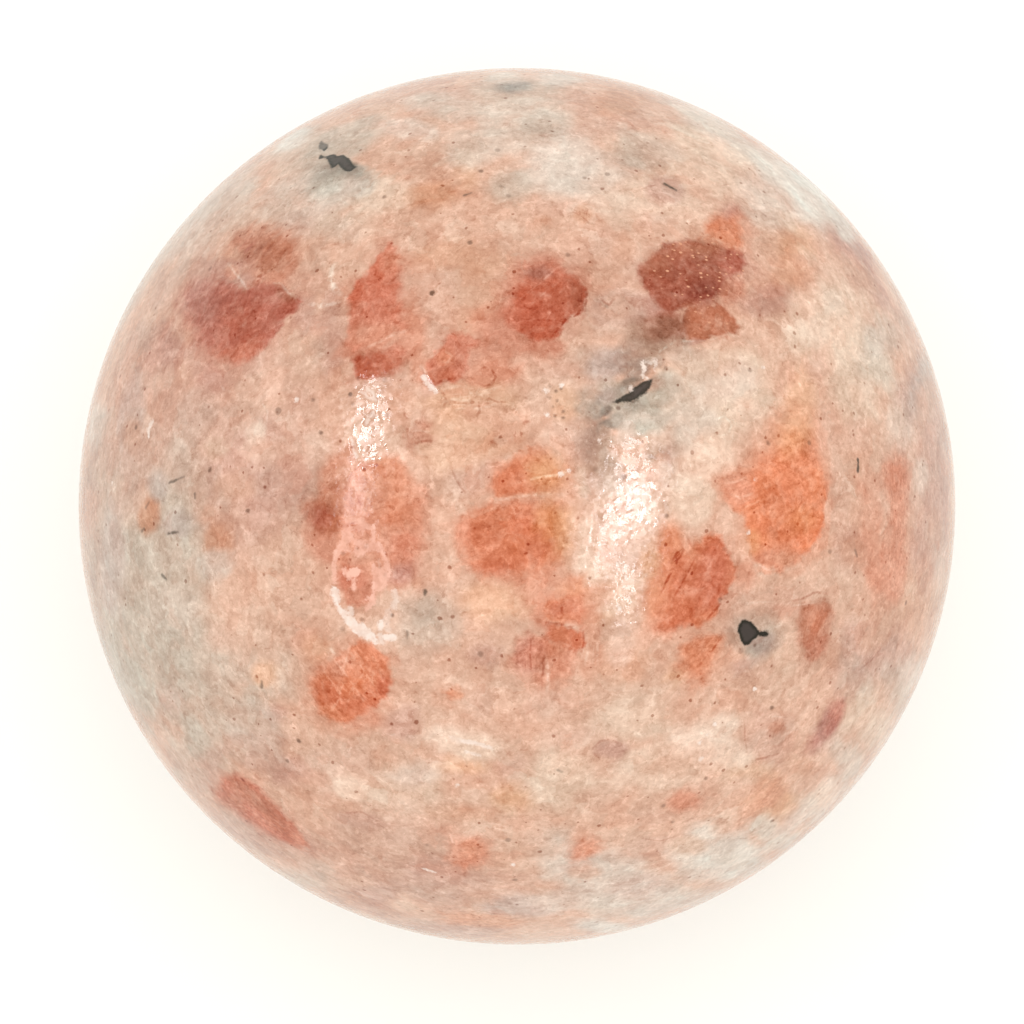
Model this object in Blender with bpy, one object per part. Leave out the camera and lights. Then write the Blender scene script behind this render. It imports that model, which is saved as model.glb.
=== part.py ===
"""A polished sunstone sphere: one ball of feldspar rock, ground round and polished all over.

Units are metres and +Z is up. The origin is the middle of the small flat that the stone rests on,
so the surface that it stands on is at z = 0 and the ball's centre is straight above.
"""

import math

import bmesh
import bpy

# Driving dimensions of the stone.
BALL_DIAMETER = 0.060
REST_FLAT_DIAMETER = 0.006

# How finely the round surface is cut into facets.
FACETS_ROUND_THE_WAIST = 80
FACETS_FROM_FLAT_TO_TOP = 40

# The round surface is shaded smooth, and the edge of the flat, which turns by more than this, is sharp.
SHARP_FROM = math.radians(6)

# The stone's average colour and its polish, as seen from a step away.
STONE_COLOUR = (0.71, 0.47, 0.35, 1.0)
POLISHED_ROUGHNESS = 0.22

# Points closer than this are one point, and edges of the flat that turn by less than this are one edge.
MERGE_DISTANCE = 1e-6
LEVEL_ANGLE = math.radians(0.1)

BALL_RADIUS = BALL_DIAMETER / 2
REST_FLAT_RADIUS = REST_FLAT_DIAMETER / 2
CENTRE_HEIGHT = math.sqrt(BALL_RADIUS**2 - REST_FLAT_RADIUS**2)


def clear_scene():
    """Leave nothing of the scene that the script starts in."""
    for old in list(bpy.data.objects):
        bpy.data.objects.remove(old)


def polished_stone():
    """Return the plain material of the solid: warm pink feldspar with a polished skin."""
    material = bpy.data.materials.new("polished_sunstone")
    material.use_nodes = True
    shader = material.node_tree.nodes["Principled BSDF"]
    shader.inputs["Base Color"].default_value = STONE_COLOUR
    shader.inputs["Roughness"].default_value = POLISHED_ROUGHNESS
    shader.inputs["Metallic"].default_value = 0.0
    return material


def outline_points():
    """Return the half outline that is turned into the ball, from the flat's middle up to the top."""
    flat_edge = math.asin(REST_FLAT_RADIUS / BALL_RADIUS)
    points = [(0.0, 0.0, 0.0)]
    for step in range(FACETS_FROM_FLAT_TO_TOP + 1):
        share = step / FACETS_FROM_FLAT_TO_TOP
        angle = flat_edge + share * (math.pi - flat_edge)
        across = BALL_RADIUS * math.sin(angle)
        height = CENTRE_HEIGHT - BALL_RADIUS * math.cos(angle)
        points.append((across, 0.0, height))
    # The two ends of the arc are exact, so that the flat is level and the top closes in one point.
    points[1] = (REST_FLAT_RADIUS, 0.0, 0.0)
    points[-1] = (0.0, 0.0, CENTRE_HEIGHT + BALL_RADIUS)
    return points


def turned_ball():
    """Return the mesh of the ball: its half outline spun about the upright axis, with a level foot."""
    shape = bmesh.new()
    corners = [shape.verts.new(point) for point in outline_points()]
    edges = [shape.edges.new(pair) for pair in zip(corners, corners[1:])]
    bmesh.ops.spin(
        shape,
        geom=corners + edges,
        cent=(0.0, 0.0, 0.0),
        axis=(0.0, 0.0, 1.0),
        angle=math.tau,
        steps=FACETS_ROUND_THE_WAIST,
        use_merge=True,
    )
    bmesh.ops.remove_doubles(shape, verts=shape.verts, dist=MERGE_DISTANCE)
    foot_edges = [edge for edge in shape.edges if max(end.co.z for end in edge.verts) < MERGE_DISTANCE]
    bmesh.ops.dissolve_limit(shape, angle_limit=LEVEL_ANGLE, verts=shape.verts, edges=foot_edges)
    bmesh.ops.recalc_face_normals(shape, faces=shape.faces)
    mesh = bpy.data.meshes.new("sunstone_sphere")
    shape.to_mesh(mesh)
    shape.free()
    return mesh


def place_stone():
    """Put the finished ball in the scene, standing on its rest flat at the origin."""
    mesh = turned_ball()
    mesh.shade_smooth()
    mesh.set_sharp_from_angle(angle=SHARP_FROM)
    mesh.materials.append(polished_stone())
    stone = bpy.data.objects.new("sunstone_sphere", mesh)
    bpy.context.scene.collection.objects.link(stone)
    return stone


clear_scene()
place_stone()
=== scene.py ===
import math
import random

import bpy
import numpy as np
from mathutils import Matrix, Vector, noise


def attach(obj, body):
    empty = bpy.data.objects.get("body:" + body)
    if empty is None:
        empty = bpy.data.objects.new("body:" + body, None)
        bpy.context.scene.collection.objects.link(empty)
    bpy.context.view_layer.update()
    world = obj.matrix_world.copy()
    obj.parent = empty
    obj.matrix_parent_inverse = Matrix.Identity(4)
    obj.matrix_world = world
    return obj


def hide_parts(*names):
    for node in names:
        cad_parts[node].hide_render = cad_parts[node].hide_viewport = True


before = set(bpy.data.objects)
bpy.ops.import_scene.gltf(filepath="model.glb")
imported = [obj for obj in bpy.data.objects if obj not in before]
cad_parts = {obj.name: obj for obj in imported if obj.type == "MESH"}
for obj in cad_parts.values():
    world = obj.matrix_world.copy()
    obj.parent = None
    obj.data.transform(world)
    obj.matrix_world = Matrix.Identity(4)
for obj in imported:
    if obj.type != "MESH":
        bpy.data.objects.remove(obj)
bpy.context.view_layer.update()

# Camera.
# A 100 mm lens close above the ball and tipped a little to the front, as the photograph was taken.
BALL_RADIUS = 0.030
REST_FLAT_RADIUS = 0.003
BALL_MIDDLE = Vector((0.0, 0.0, math.sqrt(BALL_RADIUS**2 - REST_FLAT_RADIUS**2)))
CAMERA_HEIGHT_ANGLE = math.radians(82)
LENS = 100.0
FILM = 36.0
CLIP_START = 0.01
PICTURE_WIDTH = 1024
# The ball in the photograph, in its pixels.
BALL_RADIUS_IN_PICTURE = 438.4
BALL_MIDDLE_IN_PICTURE = np.array((517.0, 506.2))

to_camera = Vector((0.0, -math.cos(CAMERA_HEIGHT_ANGLE), math.sin(CAMERA_HEIGHT_ANGLE)))
picture_right = Vector((1.0, 0.0, 0.0))
picture_up = to_camera.cross(picture_right)
limb_slope = BALL_RADIUS_IN_PICTURE / (PICTURE_WIDTH * LENS / FILM)
CAMERA_DISTANCE = BALL_RADIUS / math.sin(math.atan(limb_slope))
ball_off_middle = BALL_MIDDLE_IN_PICTURE / PICTURE_WIDTH - 0.5

camera_data = bpy.data.cameras.new("camera")
camera_data.lens = LENS
camera_data.sensor_width = FILM
camera_data.clip_start = CLIP_START
camera_data.shift_x = -ball_off_middle[0]
camera_data.shift_y = ball_off_middle[1]
camera = bpy.data.objects.new("camera", camera_data)
camera.location = BALL_MIDDLE + CAMERA_DISTANCE * to_camera
camera.rotation_euler = Matrix((picture_right, picture_up, to_camera)).transposed().to_euler()
bpy.context.scene.collection.objects.link(camera)
bpy.context.scene.camera = camera
bpy.context.scene.view_settings.view_transform = "Standard"

# Table top.
# A matt white board under the stone. It runs on to the skyline, so its edge is out of the way.
FLOOR_WIDTH = 40.0
FLOOR_WHITE = (0.932, 0.968, 0.95, 1.0)
FLOOR_ROUGHNESS, FLOOR_SPECULAR = 0.8, 0.2

floor_mesh = bpy.data.meshes.new("floor")
edge = FLOOR_WIDTH / 2
floor_corners = [(-edge, -edge, 0), (edge, -edge, 0), (edge, edge, 0), (-edge, edge, 0)]
floor_mesh.from_pydata(floor_corners, [], [(0, 1, 2, 3)])
floor = bpy.data.objects.new("floor", floor_mesh)
board_white = bpy.data.materials.new("board_white")
board_white.use_nodes = True
board_shader = board_white.node_tree.nodes["Principled BSDF"]
board_shader.inputs["Base Color"].default_value = FLOOR_WHITE
board_shader.inputs["Roughness"].default_value = FLOOR_ROUGHNESS
board_shader.inputs["Specular IOR Level"].default_value = FLOOR_SPECULAR
floor_mesh.materials.append(board_white)
bpy.context.scene.collection.objects.link(floor)

# Light.
# A white tent, brighter overhead than round the sides, and soft lamps beside the camera that show only as
# gleams. Each lamp hangs where the polish at its gleam mirrors it.
TENT_WHITE = (1.0, 0.985, 0.955)
TENT_SIDES, TENT_TOP = 0.78, 1.53
LAMP_DISTANCE = 0.50
LAMP_WHITE = (1.0, 1.0, 1.04)
# How near the ball's rim a mark may lie, as a share of its radius in the photograph.
NEAREST_RIM = 0.995
# The gleam in the photograph: x, y, half width, half height, degrees clockwise, brightness against the tent.
LAMPS = {
    "left_core": (368, 430, 9, 26, -4, 44),
    "left_top": (372, 398, 8, 13, 0, 26),
    "left_veil": (357, 493, 12, 36, 0, 9),
    "right_core": (634, 498, 15, 20, 15, 41),
    "right_middle": (614, 526, 10, 18, 30, 30),
    "right_foot": (605, 557, 9, 18, 10, 11),
    "right_top": (632, 454, 12, 12, 0, 24),
    "right_spill": (625, 588, 6, 28, 0, 26),
    "right_veil": (631, 516, 27, 62, 14, 7),
}
view_direction = np.array(to_camera)
right_direction = np.array(picture_right)
up_direction = np.array(picture_up)
lens_place = view_direction * CAMERA_DISTANCE / BALL_RADIUS
NEAR_ZERO = 1e-9


def lift(pixels):
    """Directions, from the ball's middle, of the places that lie under these pixels of the photograph."""
    seen = (np.atleast_2d(np.array(pixels, float)) - BALL_MIDDLE_IN_PICTURE) / BALL_RADIUS_IN_PICTURE
    seen *= np.minimum(1.0, NEAREST_RIM / np.maximum(np.hypot(*seen.T), NEAR_ZERO))[:, None]
    rays = -view_direction + limb_slope * (seen[:, :1] * right_direction - seen[:, 1:] * up_direction)
    rays /= np.linalg.norm(rays, axis=1)[:, None]
    nearing = -rays @ lens_place
    depth = nearing - np.sqrt(np.maximum(nearing**2 - lens_place @ lens_place + 1.0, 0.0))
    return lens_place + depth[:, None] * rays


def mirrored(pixels):
    """Where lamps hang that the polish under these pixels mirrors, and the surface there, in metres."""
    surface = lift(pixels)
    to_lens = lens_place - surface
    to_lens /= np.linalg.norm(to_lens, axis=1)[:, None]
    away = 2 * (surface * to_lens).sum(axis=1)[:, None] * surface - to_lens
    ground_place = np.array(BALL_MIDDLE) + BALL_RADIUS * surface
    return ground_place + LAMP_DISTANCE * away, ground_place


tent = bpy.data.worlds.new("white_tent")
tent.use_nodes = True
tent_nodes = tent.node_tree.nodes
tent_place = tent_nodes.new("ShaderNodeTexCoord")
tent_split = tent_nodes.new("ShaderNodeSeparateXYZ")
tent_rise = tent_nodes.new("ShaderNodeMapRange")
tent_rise.inputs["To Min"].default_value = TENT_SIDES
tent_rise.inputs["To Max"].default_value = TENT_TOP
tent.node_tree.links.new(tent_place.outputs["Generated"], tent_split.inputs[0])
tent.node_tree.links.new(tent_split.outputs["Z"], tent_rise.inputs["Value"])
tent.node_tree.links.new(tent_rise.outputs[0], tent_nodes["Background"].inputs["Strength"])
tent_nodes["Background"].inputs["Color"].default_value = (*TENT_WHITE, 1.0)
bpy.context.scene.world = tent

for name, (x, y, half_width, half_height, degrees, brightness) in LAMPS.items():
    turn = math.radians(degrees)
    across = np.array([math.cos(turn), math.sin(turn)]) * half_width
    along = np.array([math.sin(turn), -math.cos(turn)]) * half_height
    middle = np.array([x, y])
    hung, below = mirrored([middle, middle + across, middle - across, middle + along, middle - along])
    towards = Vector(hung[0] - below[0]).normalized()
    width, height = np.linalg.norm(hung[1] - hung[2]), np.linalg.norm(hung[3] - hung[4])
    lamp_right = Vector(hung[1] - hung[2]).normalized()
    lamp_up = towards.cross(lamp_right).normalized()
    lamp_data = bpy.data.lights.new(name, "AREA")
    lamp_data.shape = "RECTANGLE"
    lamp_data.size = width
    lamp_data.size_y = height
    lamp_data.energy = brightness * math.pi * width * height
    lamp_data.color = LAMP_WHITE
    lamp = bpy.data.objects.new(name, lamp_data)
    lamp.location = Vector(hung[0])
    lamp.rotation_euler = Matrix((lamp_up.cross(towards), lamp_up, towards)).transposed().to_euler()
    lamp.visible_camera = False
    lamp.visible_diffuse = False
    bpy.context.scene.collection.objects.link(lamp)

# How the stone's marks are laid on it.
# The polish cuts through grains, clouds and cracks of the rock. Each is held as a patch: flat millimetres
# laid on the ball at the mark's own middle. On the side that the photograph shows, the places are its pixels.
MM_IN_METRE = 1000
RADIUS = BALL_RADIUS * MM_IN_METRE
# How bright the tent and lamps make the stone, and what its polish adds to every colour.
LIGHT_LEVEL, POLISH_SHEEN = np.array((1.205, 1.205, 1.175)), 0.02
DEEPEST, PALEST = 0.01, 0.95
# The standard curve by which pictures hold brightness.
CURVE_START, CURVE_LIFT, CURVE_WHOLE, CURVE_POWER, START_SLOPE = 0.04045, 0.055, 1.055, 2.4, 12.92
NEARLY_SIDEWAYS = 0.97
SHORTEST = 1e-6
# How far apart, in pixels, the two places are that a way is read from.
WAY_STEP = 8


def patch_axes(middle):
    """Right and up along the surface at one place on the ball."""
    guide = right_direction if abs(middle @ right_direction) < NEARLY_SIDEWAYS else -view_direction
    right = guide - (guide @ middle) * middle
    right /= np.linalg.norm(right)
    return right, np.cross(middle, right)


def lay_flat(directions, middle):
    """Millimetres right and up, on a flat patch at middle, of places given as directions."""
    right, up = patch_axes(middle)
    turn = np.arccos(np.clip(directions @ middle, -1.0, 1.0))
    stretch = RADIUS * turn / np.maximum(np.sin(turn), SHORTEST)
    return np.stack([directions @ right * stretch, directions @ up * stretch], axis=1)


def lay_round(flat, middle):
    """Directions of places given in millimetres right and up on the patch at middle."""
    right, up = patch_axes(middle)
    flat = np.atleast_2d(np.array(flat, float))
    length = np.hypot(*flat.T)
    along = flat / np.maximum(length, NEAR_ZERO)[:, None]
    sideways = along[:, :1] * right + along[:, 1:] * up
    turn = (length / RADIUS)[:, None]
    return np.cos(turn) * middle + np.sin(turn) * sideways


class Patch:
    """A spot, a line or a closed outline on the ball, flat in millimetres about its own middle."""

    def __init__(self, directions, closed=False):
        self.middle = directions.mean(axis=0)
        self.middle /= np.linalg.norm(self.middle)
        self.starts = lay_flat(directions, self.middle)
        self.closed = closed
        self.reach = float(np.hypot(*self.starts.T).max())
        self.ends = np.roll(self.starts, -1, axis=0)
        if not closed and len(self.starts) > 1:
            self.starts, self.ends = self.starts[:-1], self.ends[:-1]

    def nearby(self, directions, margin):
        """Which directions lie within margin mm of the patch's reach, and where they fall on it."""
        limit = math.cos(min((self.reach + margin) / RADIUS, math.pi))
        chosen = np.flatnonzero(directions @ self.middle > limit)
        return chosen, lay_flat(directions[chosen], self.middle)

    def offset(self, flat):
        """Distance to the line in mm, the side of it as +1 or -1, and the share of its length passed."""
        run = self.ends - self.starts
        length = np.hypot(*run.T)
        away = flat[:, None] - self.starts
        share = np.clip((away * run).sum(axis=2) / np.maximum(length, SHORTEST) ** 2, 0.0, 1.0)
        gap = np.hypot(*(away - share[:, :, None] * run).transpose(2, 0, 1))
        nearest = gap.argmin(axis=1)
        row = np.arange(len(flat))
        side = np.sign(run[nearest, 0] * away[row, nearest, 1] - run[nearest, 1] * away[row, nearest, 0])
        passed = (length.cumsum() - length)[nearest] + share[row, nearest] * length[nearest]
        return gap[row, nearest], side, passed / max(length.sum(), SHORTEST)

    def depth(self, flat):
        """Distance in mm to a closed outline: more than 0 inside it."""
        ahead = (self.starts[:, 1] > flat[:, 1:]) != (self.ends[:, 1] > flat[:, 1:])
        run, rise = (self.ends - self.starts).T
        rise = np.where(rise == 0, NEAR_ZERO, rise)
        crossing = self.starts[:, 0] + (flat[:, 1:] - self.starts[:, 1]) / rise * run
        inside = (ahead & (flat[:, :1] < crossing)).sum(axis=1) % 2 == 1
        return np.where(inside, 1.0, -1.0) * self.offset(flat)[0]


def picture_oval(x, y, half_width, half_height, degrees):
    """An oval given in the photograph's pixels, turned clockwise: its middle, and its half axes in mm."""
    turn = math.radians(degrees)
    long_way = np.array([math.cos(turn), math.sin(turn)]) * half_width
    short_way = np.array([-math.sin(turn), math.cos(turn)]) * half_height
    here = np.array([x, y])
    middle = lift(here)[0]
    ends = lay_flat(lift([here + long_way, here - long_way, here + short_way, here - short_way]), middle)
    return middle, np.stack([ends[0] - ends[1], ends[2] - ends[3]]) / 2


def picture_way(pixels, degrees):
    """A way across a mark, in degrees clockwise from the right in the photograph, along its own patch."""
    here = np.mean(pixels, axis=0)
    turn = math.radians(degrees)
    there = here + WAY_STEP * np.array([math.cos(turn), math.sin(turn)])
    middle = Patch(lift(pixels)).middle
    run = np.diff(lay_flat(lift([here, there]), middle), axis=0)[0]
    return math.atan2(run[1], run[0])


def pigment(colour):
    """The light that the stone gives back where it looks this colour, 0 to 255, in the photograph's light."""
    share = np.array(colour, float) / 255
    curved = ((share + CURVE_LIFT) / CURVE_WHOLE) ** CURVE_POWER
    bright = np.where(share > CURVE_START, curved, share / START_SLOPE)
    return np.clip((bright - POLISH_SHEEN) / LIGHT_LEVEL, DEEPEST, PALEST)


# Crystals.
# Red and orange feldspar grains, clear enough to see into, so an edge is soft where it dips under the pale
# ground. Their colour is fine flakes of copper and iron ore that grew inside the crystal.
CRYSTAL_COLOURS = {
    "wine red": (168, 94, 74), "dark wine": (148, 78, 64), "brick": (188, 98, 72),
    "rose red": (186, 110, 92), "mauve red": (196, 138, 122), "brown": (148, 98, 78),
    "umber": (160, 96, 74), "russet": (190, 120, 92), "clay": (202, 140, 114), "red clay": (206, 110, 84),
    "red orange": (208, 116, 84), "coral": (212, 132, 106), "rust orange": (220, 136, 102),
    "vivid orange": (236, 142, 102), "orange": (222, 144, 110), "amber": (230, 152, 106),
    "salmon": (224, 156, 128), "apricot": (238, 172, 128), "peach": (232, 176, 146),
    "veil pink": (240, 170, 146), "deep orange": (214, 120, 82), "golden": (218, 150, 108),
}
# Colour, blur of the edge in mm, fade (degrees, extra mm) or None, grain (degrees, strength), outline.
CRYSTALS = {
    "rose": ("rose red", 0.2, (150, 1.1), (-20, 0.12), [
        (180, 300), (184, 288), (198, 281), (214, 279), (232, 282), (246, 290), (262, 280), (272, 282),
        (282, 286), (292, 296), (303, 301), (296, 312), (285, 318), (281, 330), (272, 342), (262, 352),
        (248, 362), (232, 366), (212, 356), (196, 338), (183, 320)]),
    "over rose": ("clay", 0.6, None, (0, 0.15), [
        (228, 240), (240, 228), (262, 224), (284, 228), (298, 240), (301, 258), (293, 274), (276, 278),
        (256, 276), (241, 264)]),
    "salmon": ("coral", 0.2, (5, 0.6), (-60, 0.2), [
        (392, 240), (384, 248), (373, 262), (366, 272), (358, 280), (351, 287), (348, 300), (347, 330),
        (350, 352), (375, 348), (392, 339), (403, 326), (405, 300), (403, 280), (400, 262), (397, 248)]),
    "salmon foot": ("brick", 0.14, (0, 0.4), (-30, 0.2), [
        (353, 357), (372, 353), (384, 347), (400, 341), (406, 352), (405, 362), (398, 370), (385, 378),
        (366, 380), (358, 378), (353, 368)]),
    "red block": ("brick", 0.16, (225, 1.0), (-35, 0.2), [
        (520, 266), (534, 260), (548, 257), (560, 264), (572, 273), (581, 281), (587, 290), (586, 304),
        (582, 314), (571, 318), (563, 330), (551, 340), (536, 341), (520, 335), (505, 325), (502, 312),
        (507, 296), (512, 280)]),
    "small orange": ("coral", 0.18, None, (-50, 0.3), [
        (448, 335), (458, 331), (466, 333), (480, 342), (471, 352), (468, 364), (464, 376), (454, 383),
        (440, 383), (430, 385), (425, 366), (434, 352)]),
    "wine": ("wine red", 0.24, None, (-35, 0.1), [
        (636, 272), (640, 262), (650, 255), (660, 248), (672, 243), (690, 239), (705, 241), (720, 243),
        (734, 249), (745, 255), (748, 263), (743, 272), (730, 278), (722, 285), (717, 301), (702, 304),
        (685, 302), (684, 312), (665, 313), (655, 305), (648, 294), (640, 285)]),
    "over wine": ("orange", 0.35, (-90, 0.5), (-60, 0.15), [
        (703, 242), (705, 226), (714, 215), (726, 207), (737, 206), (743, 216), (742, 232), (745, 254),
        (728, 247), (712, 242)]),
    "gold under wine": ("russet", 0.14, None, (-10, 0.15), [
        (684, 305), (702, 303), (720, 303), (729, 312), (737, 322), (735, 332), (720, 337), (706, 341),
        (690, 340), (682, 335)]),
    "brown under wine": ("brown", 0.24, (170, 0.8), (0, 0.1), [
        (642, 322), (652, 316), (668, 313), (684, 312), (683, 336), (670, 340), (654, 342), (642, 337)]),
    "brown spot": ("russet", 0.4, None, (90, 0.15), [
        (301, 505), (309, 498), (333, 494), (343, 505), (344, 524), (340, 535), (316, 533), (307, 522)]),
    "pale salmon": ("salmon", 0.3, (10, 0.6), (-80, 0.12), [
        (374, 458), (388, 454), (400, 457), (408, 470), (417, 481), (428, 490), (430, 508), (428, 528),
        (424, 548), (420, 566), (411, 580), (395, 585), (380, 594), (366, 610), (350, 605), (338, 590),
        (334, 560), (341, 500), (350, 470), (362, 460)]),
    "sunset": ("rust orange", 0.5, (0, 0.7), (0, 0.12), [
        (456, 520), (468, 510), (492, 502), (520, 498), (548, 496), (566, 498), (573, 513), (570, 545),
        (560, 566), (544, 574), (524, 577), (500, 579), (480, 578), (468, 568), (458, 548), (454, 532)]),
    "sunset top": ("orange", 0.25, (0, 0.8), (-10, 0.12), [
        (493, 498), (494, 478), (500, 465), (512, 456), (526, 449), (542, 446), (556, 452), (567, 466),
        (571, 490), (548, 496), (520, 498)]),
    "vivid": ("vivid orange", 0.26, (-95, 1.7), (-25, 0.35), [
        (770, 446), (776, 432), (785, 424), (798, 421), (811, 428), (816, 445), (822, 462), (827, 480),
        (828, 496), (825, 506), (825, 524), (818, 540), (808, 553), (796, 563), (780, 571), (765, 571),
        (754, 563), (749, 545), (746, 528), (743, 517), (732, 508), (722, 496), (721, 484), (733, 474),
        (750, 468), (760, 457)]),
    "cleaved": ("rust orange", 0.18, (190, 0.9), (-55, 0.3), [
        (671, 550), (684, 544), (699, 541), (706, 534), (714, 531), (724, 540), (730, 556), (738, 568),
        (736, 580), (728, 590), (722, 600), (717, 612), (711, 621), (702, 627), (688, 627), (678, 629),
        (666, 635), (655, 634), (650, 624), (655, 608), (660, 590), (664, 572)]),
    "under cleaved": ("orange", 0.4, (110, 0.5), (-50, 0.35), [
        (672, 661), (682, 646), (694, 638), (710, 634), (724, 637), (718, 655), (711, 670), (703, 684),
        (690, 680)]),
    "small square": ("rust orange", 0.2, (0, 0.3), (90, 0.15), [
        (544, 613), (547, 604), (555, 598), (566, 596), (580, 599), (585, 612), (584, 627), (565, 624),
        (547, 622)]),
    "striped head": ("red orange", 0.16, (160, 0.5), (5, 0.15), [
        (546, 622), (560, 624), (572, 627), (583, 630), (585, 642), (580, 656), (568, 652), (555, 651),
        (543, 642)]),
    "striped": ("salmon", 0.35, (110, 0.9), (-88, 0.35), [
        (514, 643), (527, 632), (545, 636), (580, 646), (578, 666), (568, 681), (552, 688), (544, 694),
        (537, 692), (527, 680), (514, 668), (511, 654)]),
    "fibrous": ("rust orange", 0.18, (200, 0.5), (50, 0.5), [
        (343, 650), (350, 642), (359, 639), (369, 643), (380, 648), (388, 656), (391, 670), (393, 683),
        (388, 694), (379, 703), (368, 710), (356, 719), (344, 724), (330, 722), (318, 712), (311, 698),
        (310, 676), (316, 662), (330, 658)]),
    "faint right": ("clay", 0.35, None, (-80, 0.2), [
        (796, 622), (800, 606), (812, 602), (826, 601), (833, 615), (831, 639), (823, 657), (809, 661),
        (797, 641)]),
    "tall right": ("salmon", 0.8, None, (-85, 0.3), [
        (884, 460), (897, 453), (906, 462), (908, 480), (905, 546), (906, 576), (897, 592), (886, 590),
        (876, 552), (889, 531), (891, 505), (882, 481)]),
    "mauve": ("mauve red", 0.45, (130, 0.4), (-60, 0.15), [
        (824, 712), (834, 701), (844, 697), (846, 708), (840, 724), (832, 737), (813, 752), (806, 752),
        (811, 740), (816, 727)]),
    "tan": ("clay", 0.3, None, (0, 0.1), [
        (767, 724), (776, 718), (787, 720), (789, 728), (780, 735), (770, 734)]),
    "low right": ("peach", 0.8, None, (-30, 0.2), [
        (740, 812), (750, 796), (766, 780), (782, 777), (790, 786), (778, 801), (764, 812), (750, 818)]),
    "low middle": ("salmon", 0.5, None, (0, 0.2), [
        (664, 804), (672, 793), (685, 787), (700, 791), (704, 803), (696, 811), (676, 812)]),
    "low red": ("salmon", 0.5, None, (-20, 0.3), [
        (451, 836), (474, 835), (490, 841), (491, 853), (479, 867), (461, 870), (448, 863)]),
    "low orange": ("salmon", 0.5, None, (-40, 0.2), [
        (568, 852), (576, 842), (588, 836), (600, 840), (602, 849), (588, 859), (572, 863)]),
    "long": ("coral", 0.4, (130, 0.9), (45, 0.3), [
        (222, 776), (240, 774), (256, 784), (281, 809), (304, 834), (312, 848), (300, 850), (272, 836),
        (240, 817), (223, 806), (217, 793)]),
    "bottom strip": ("peach", 0.8, None, (0, 0.2), [
        (442, 913), (470, 913), (502, 916), (524, 921), (513, 928), (470, 926), (444, 923)]),
    "pink flake": ("clay", 0.4, None, (-10, 0.2), [
        (405, 448), (407, 429), (416, 420), (433, 420), (435, 427), (426, 431), (435, 438), (431, 444)]),
    "first speck": ("orange", 0.2, None, (-20, 0.4), [
        (444, 689), (457, 683), (466, 687), (464, 698), (455, 702), (447, 695)]),
    "second speck": ("brick", 0.08, None, (0, 0.2), [
        (519, 711), (529, 706), (537, 706), (531, 711), (523, 715)]),
}
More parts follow.
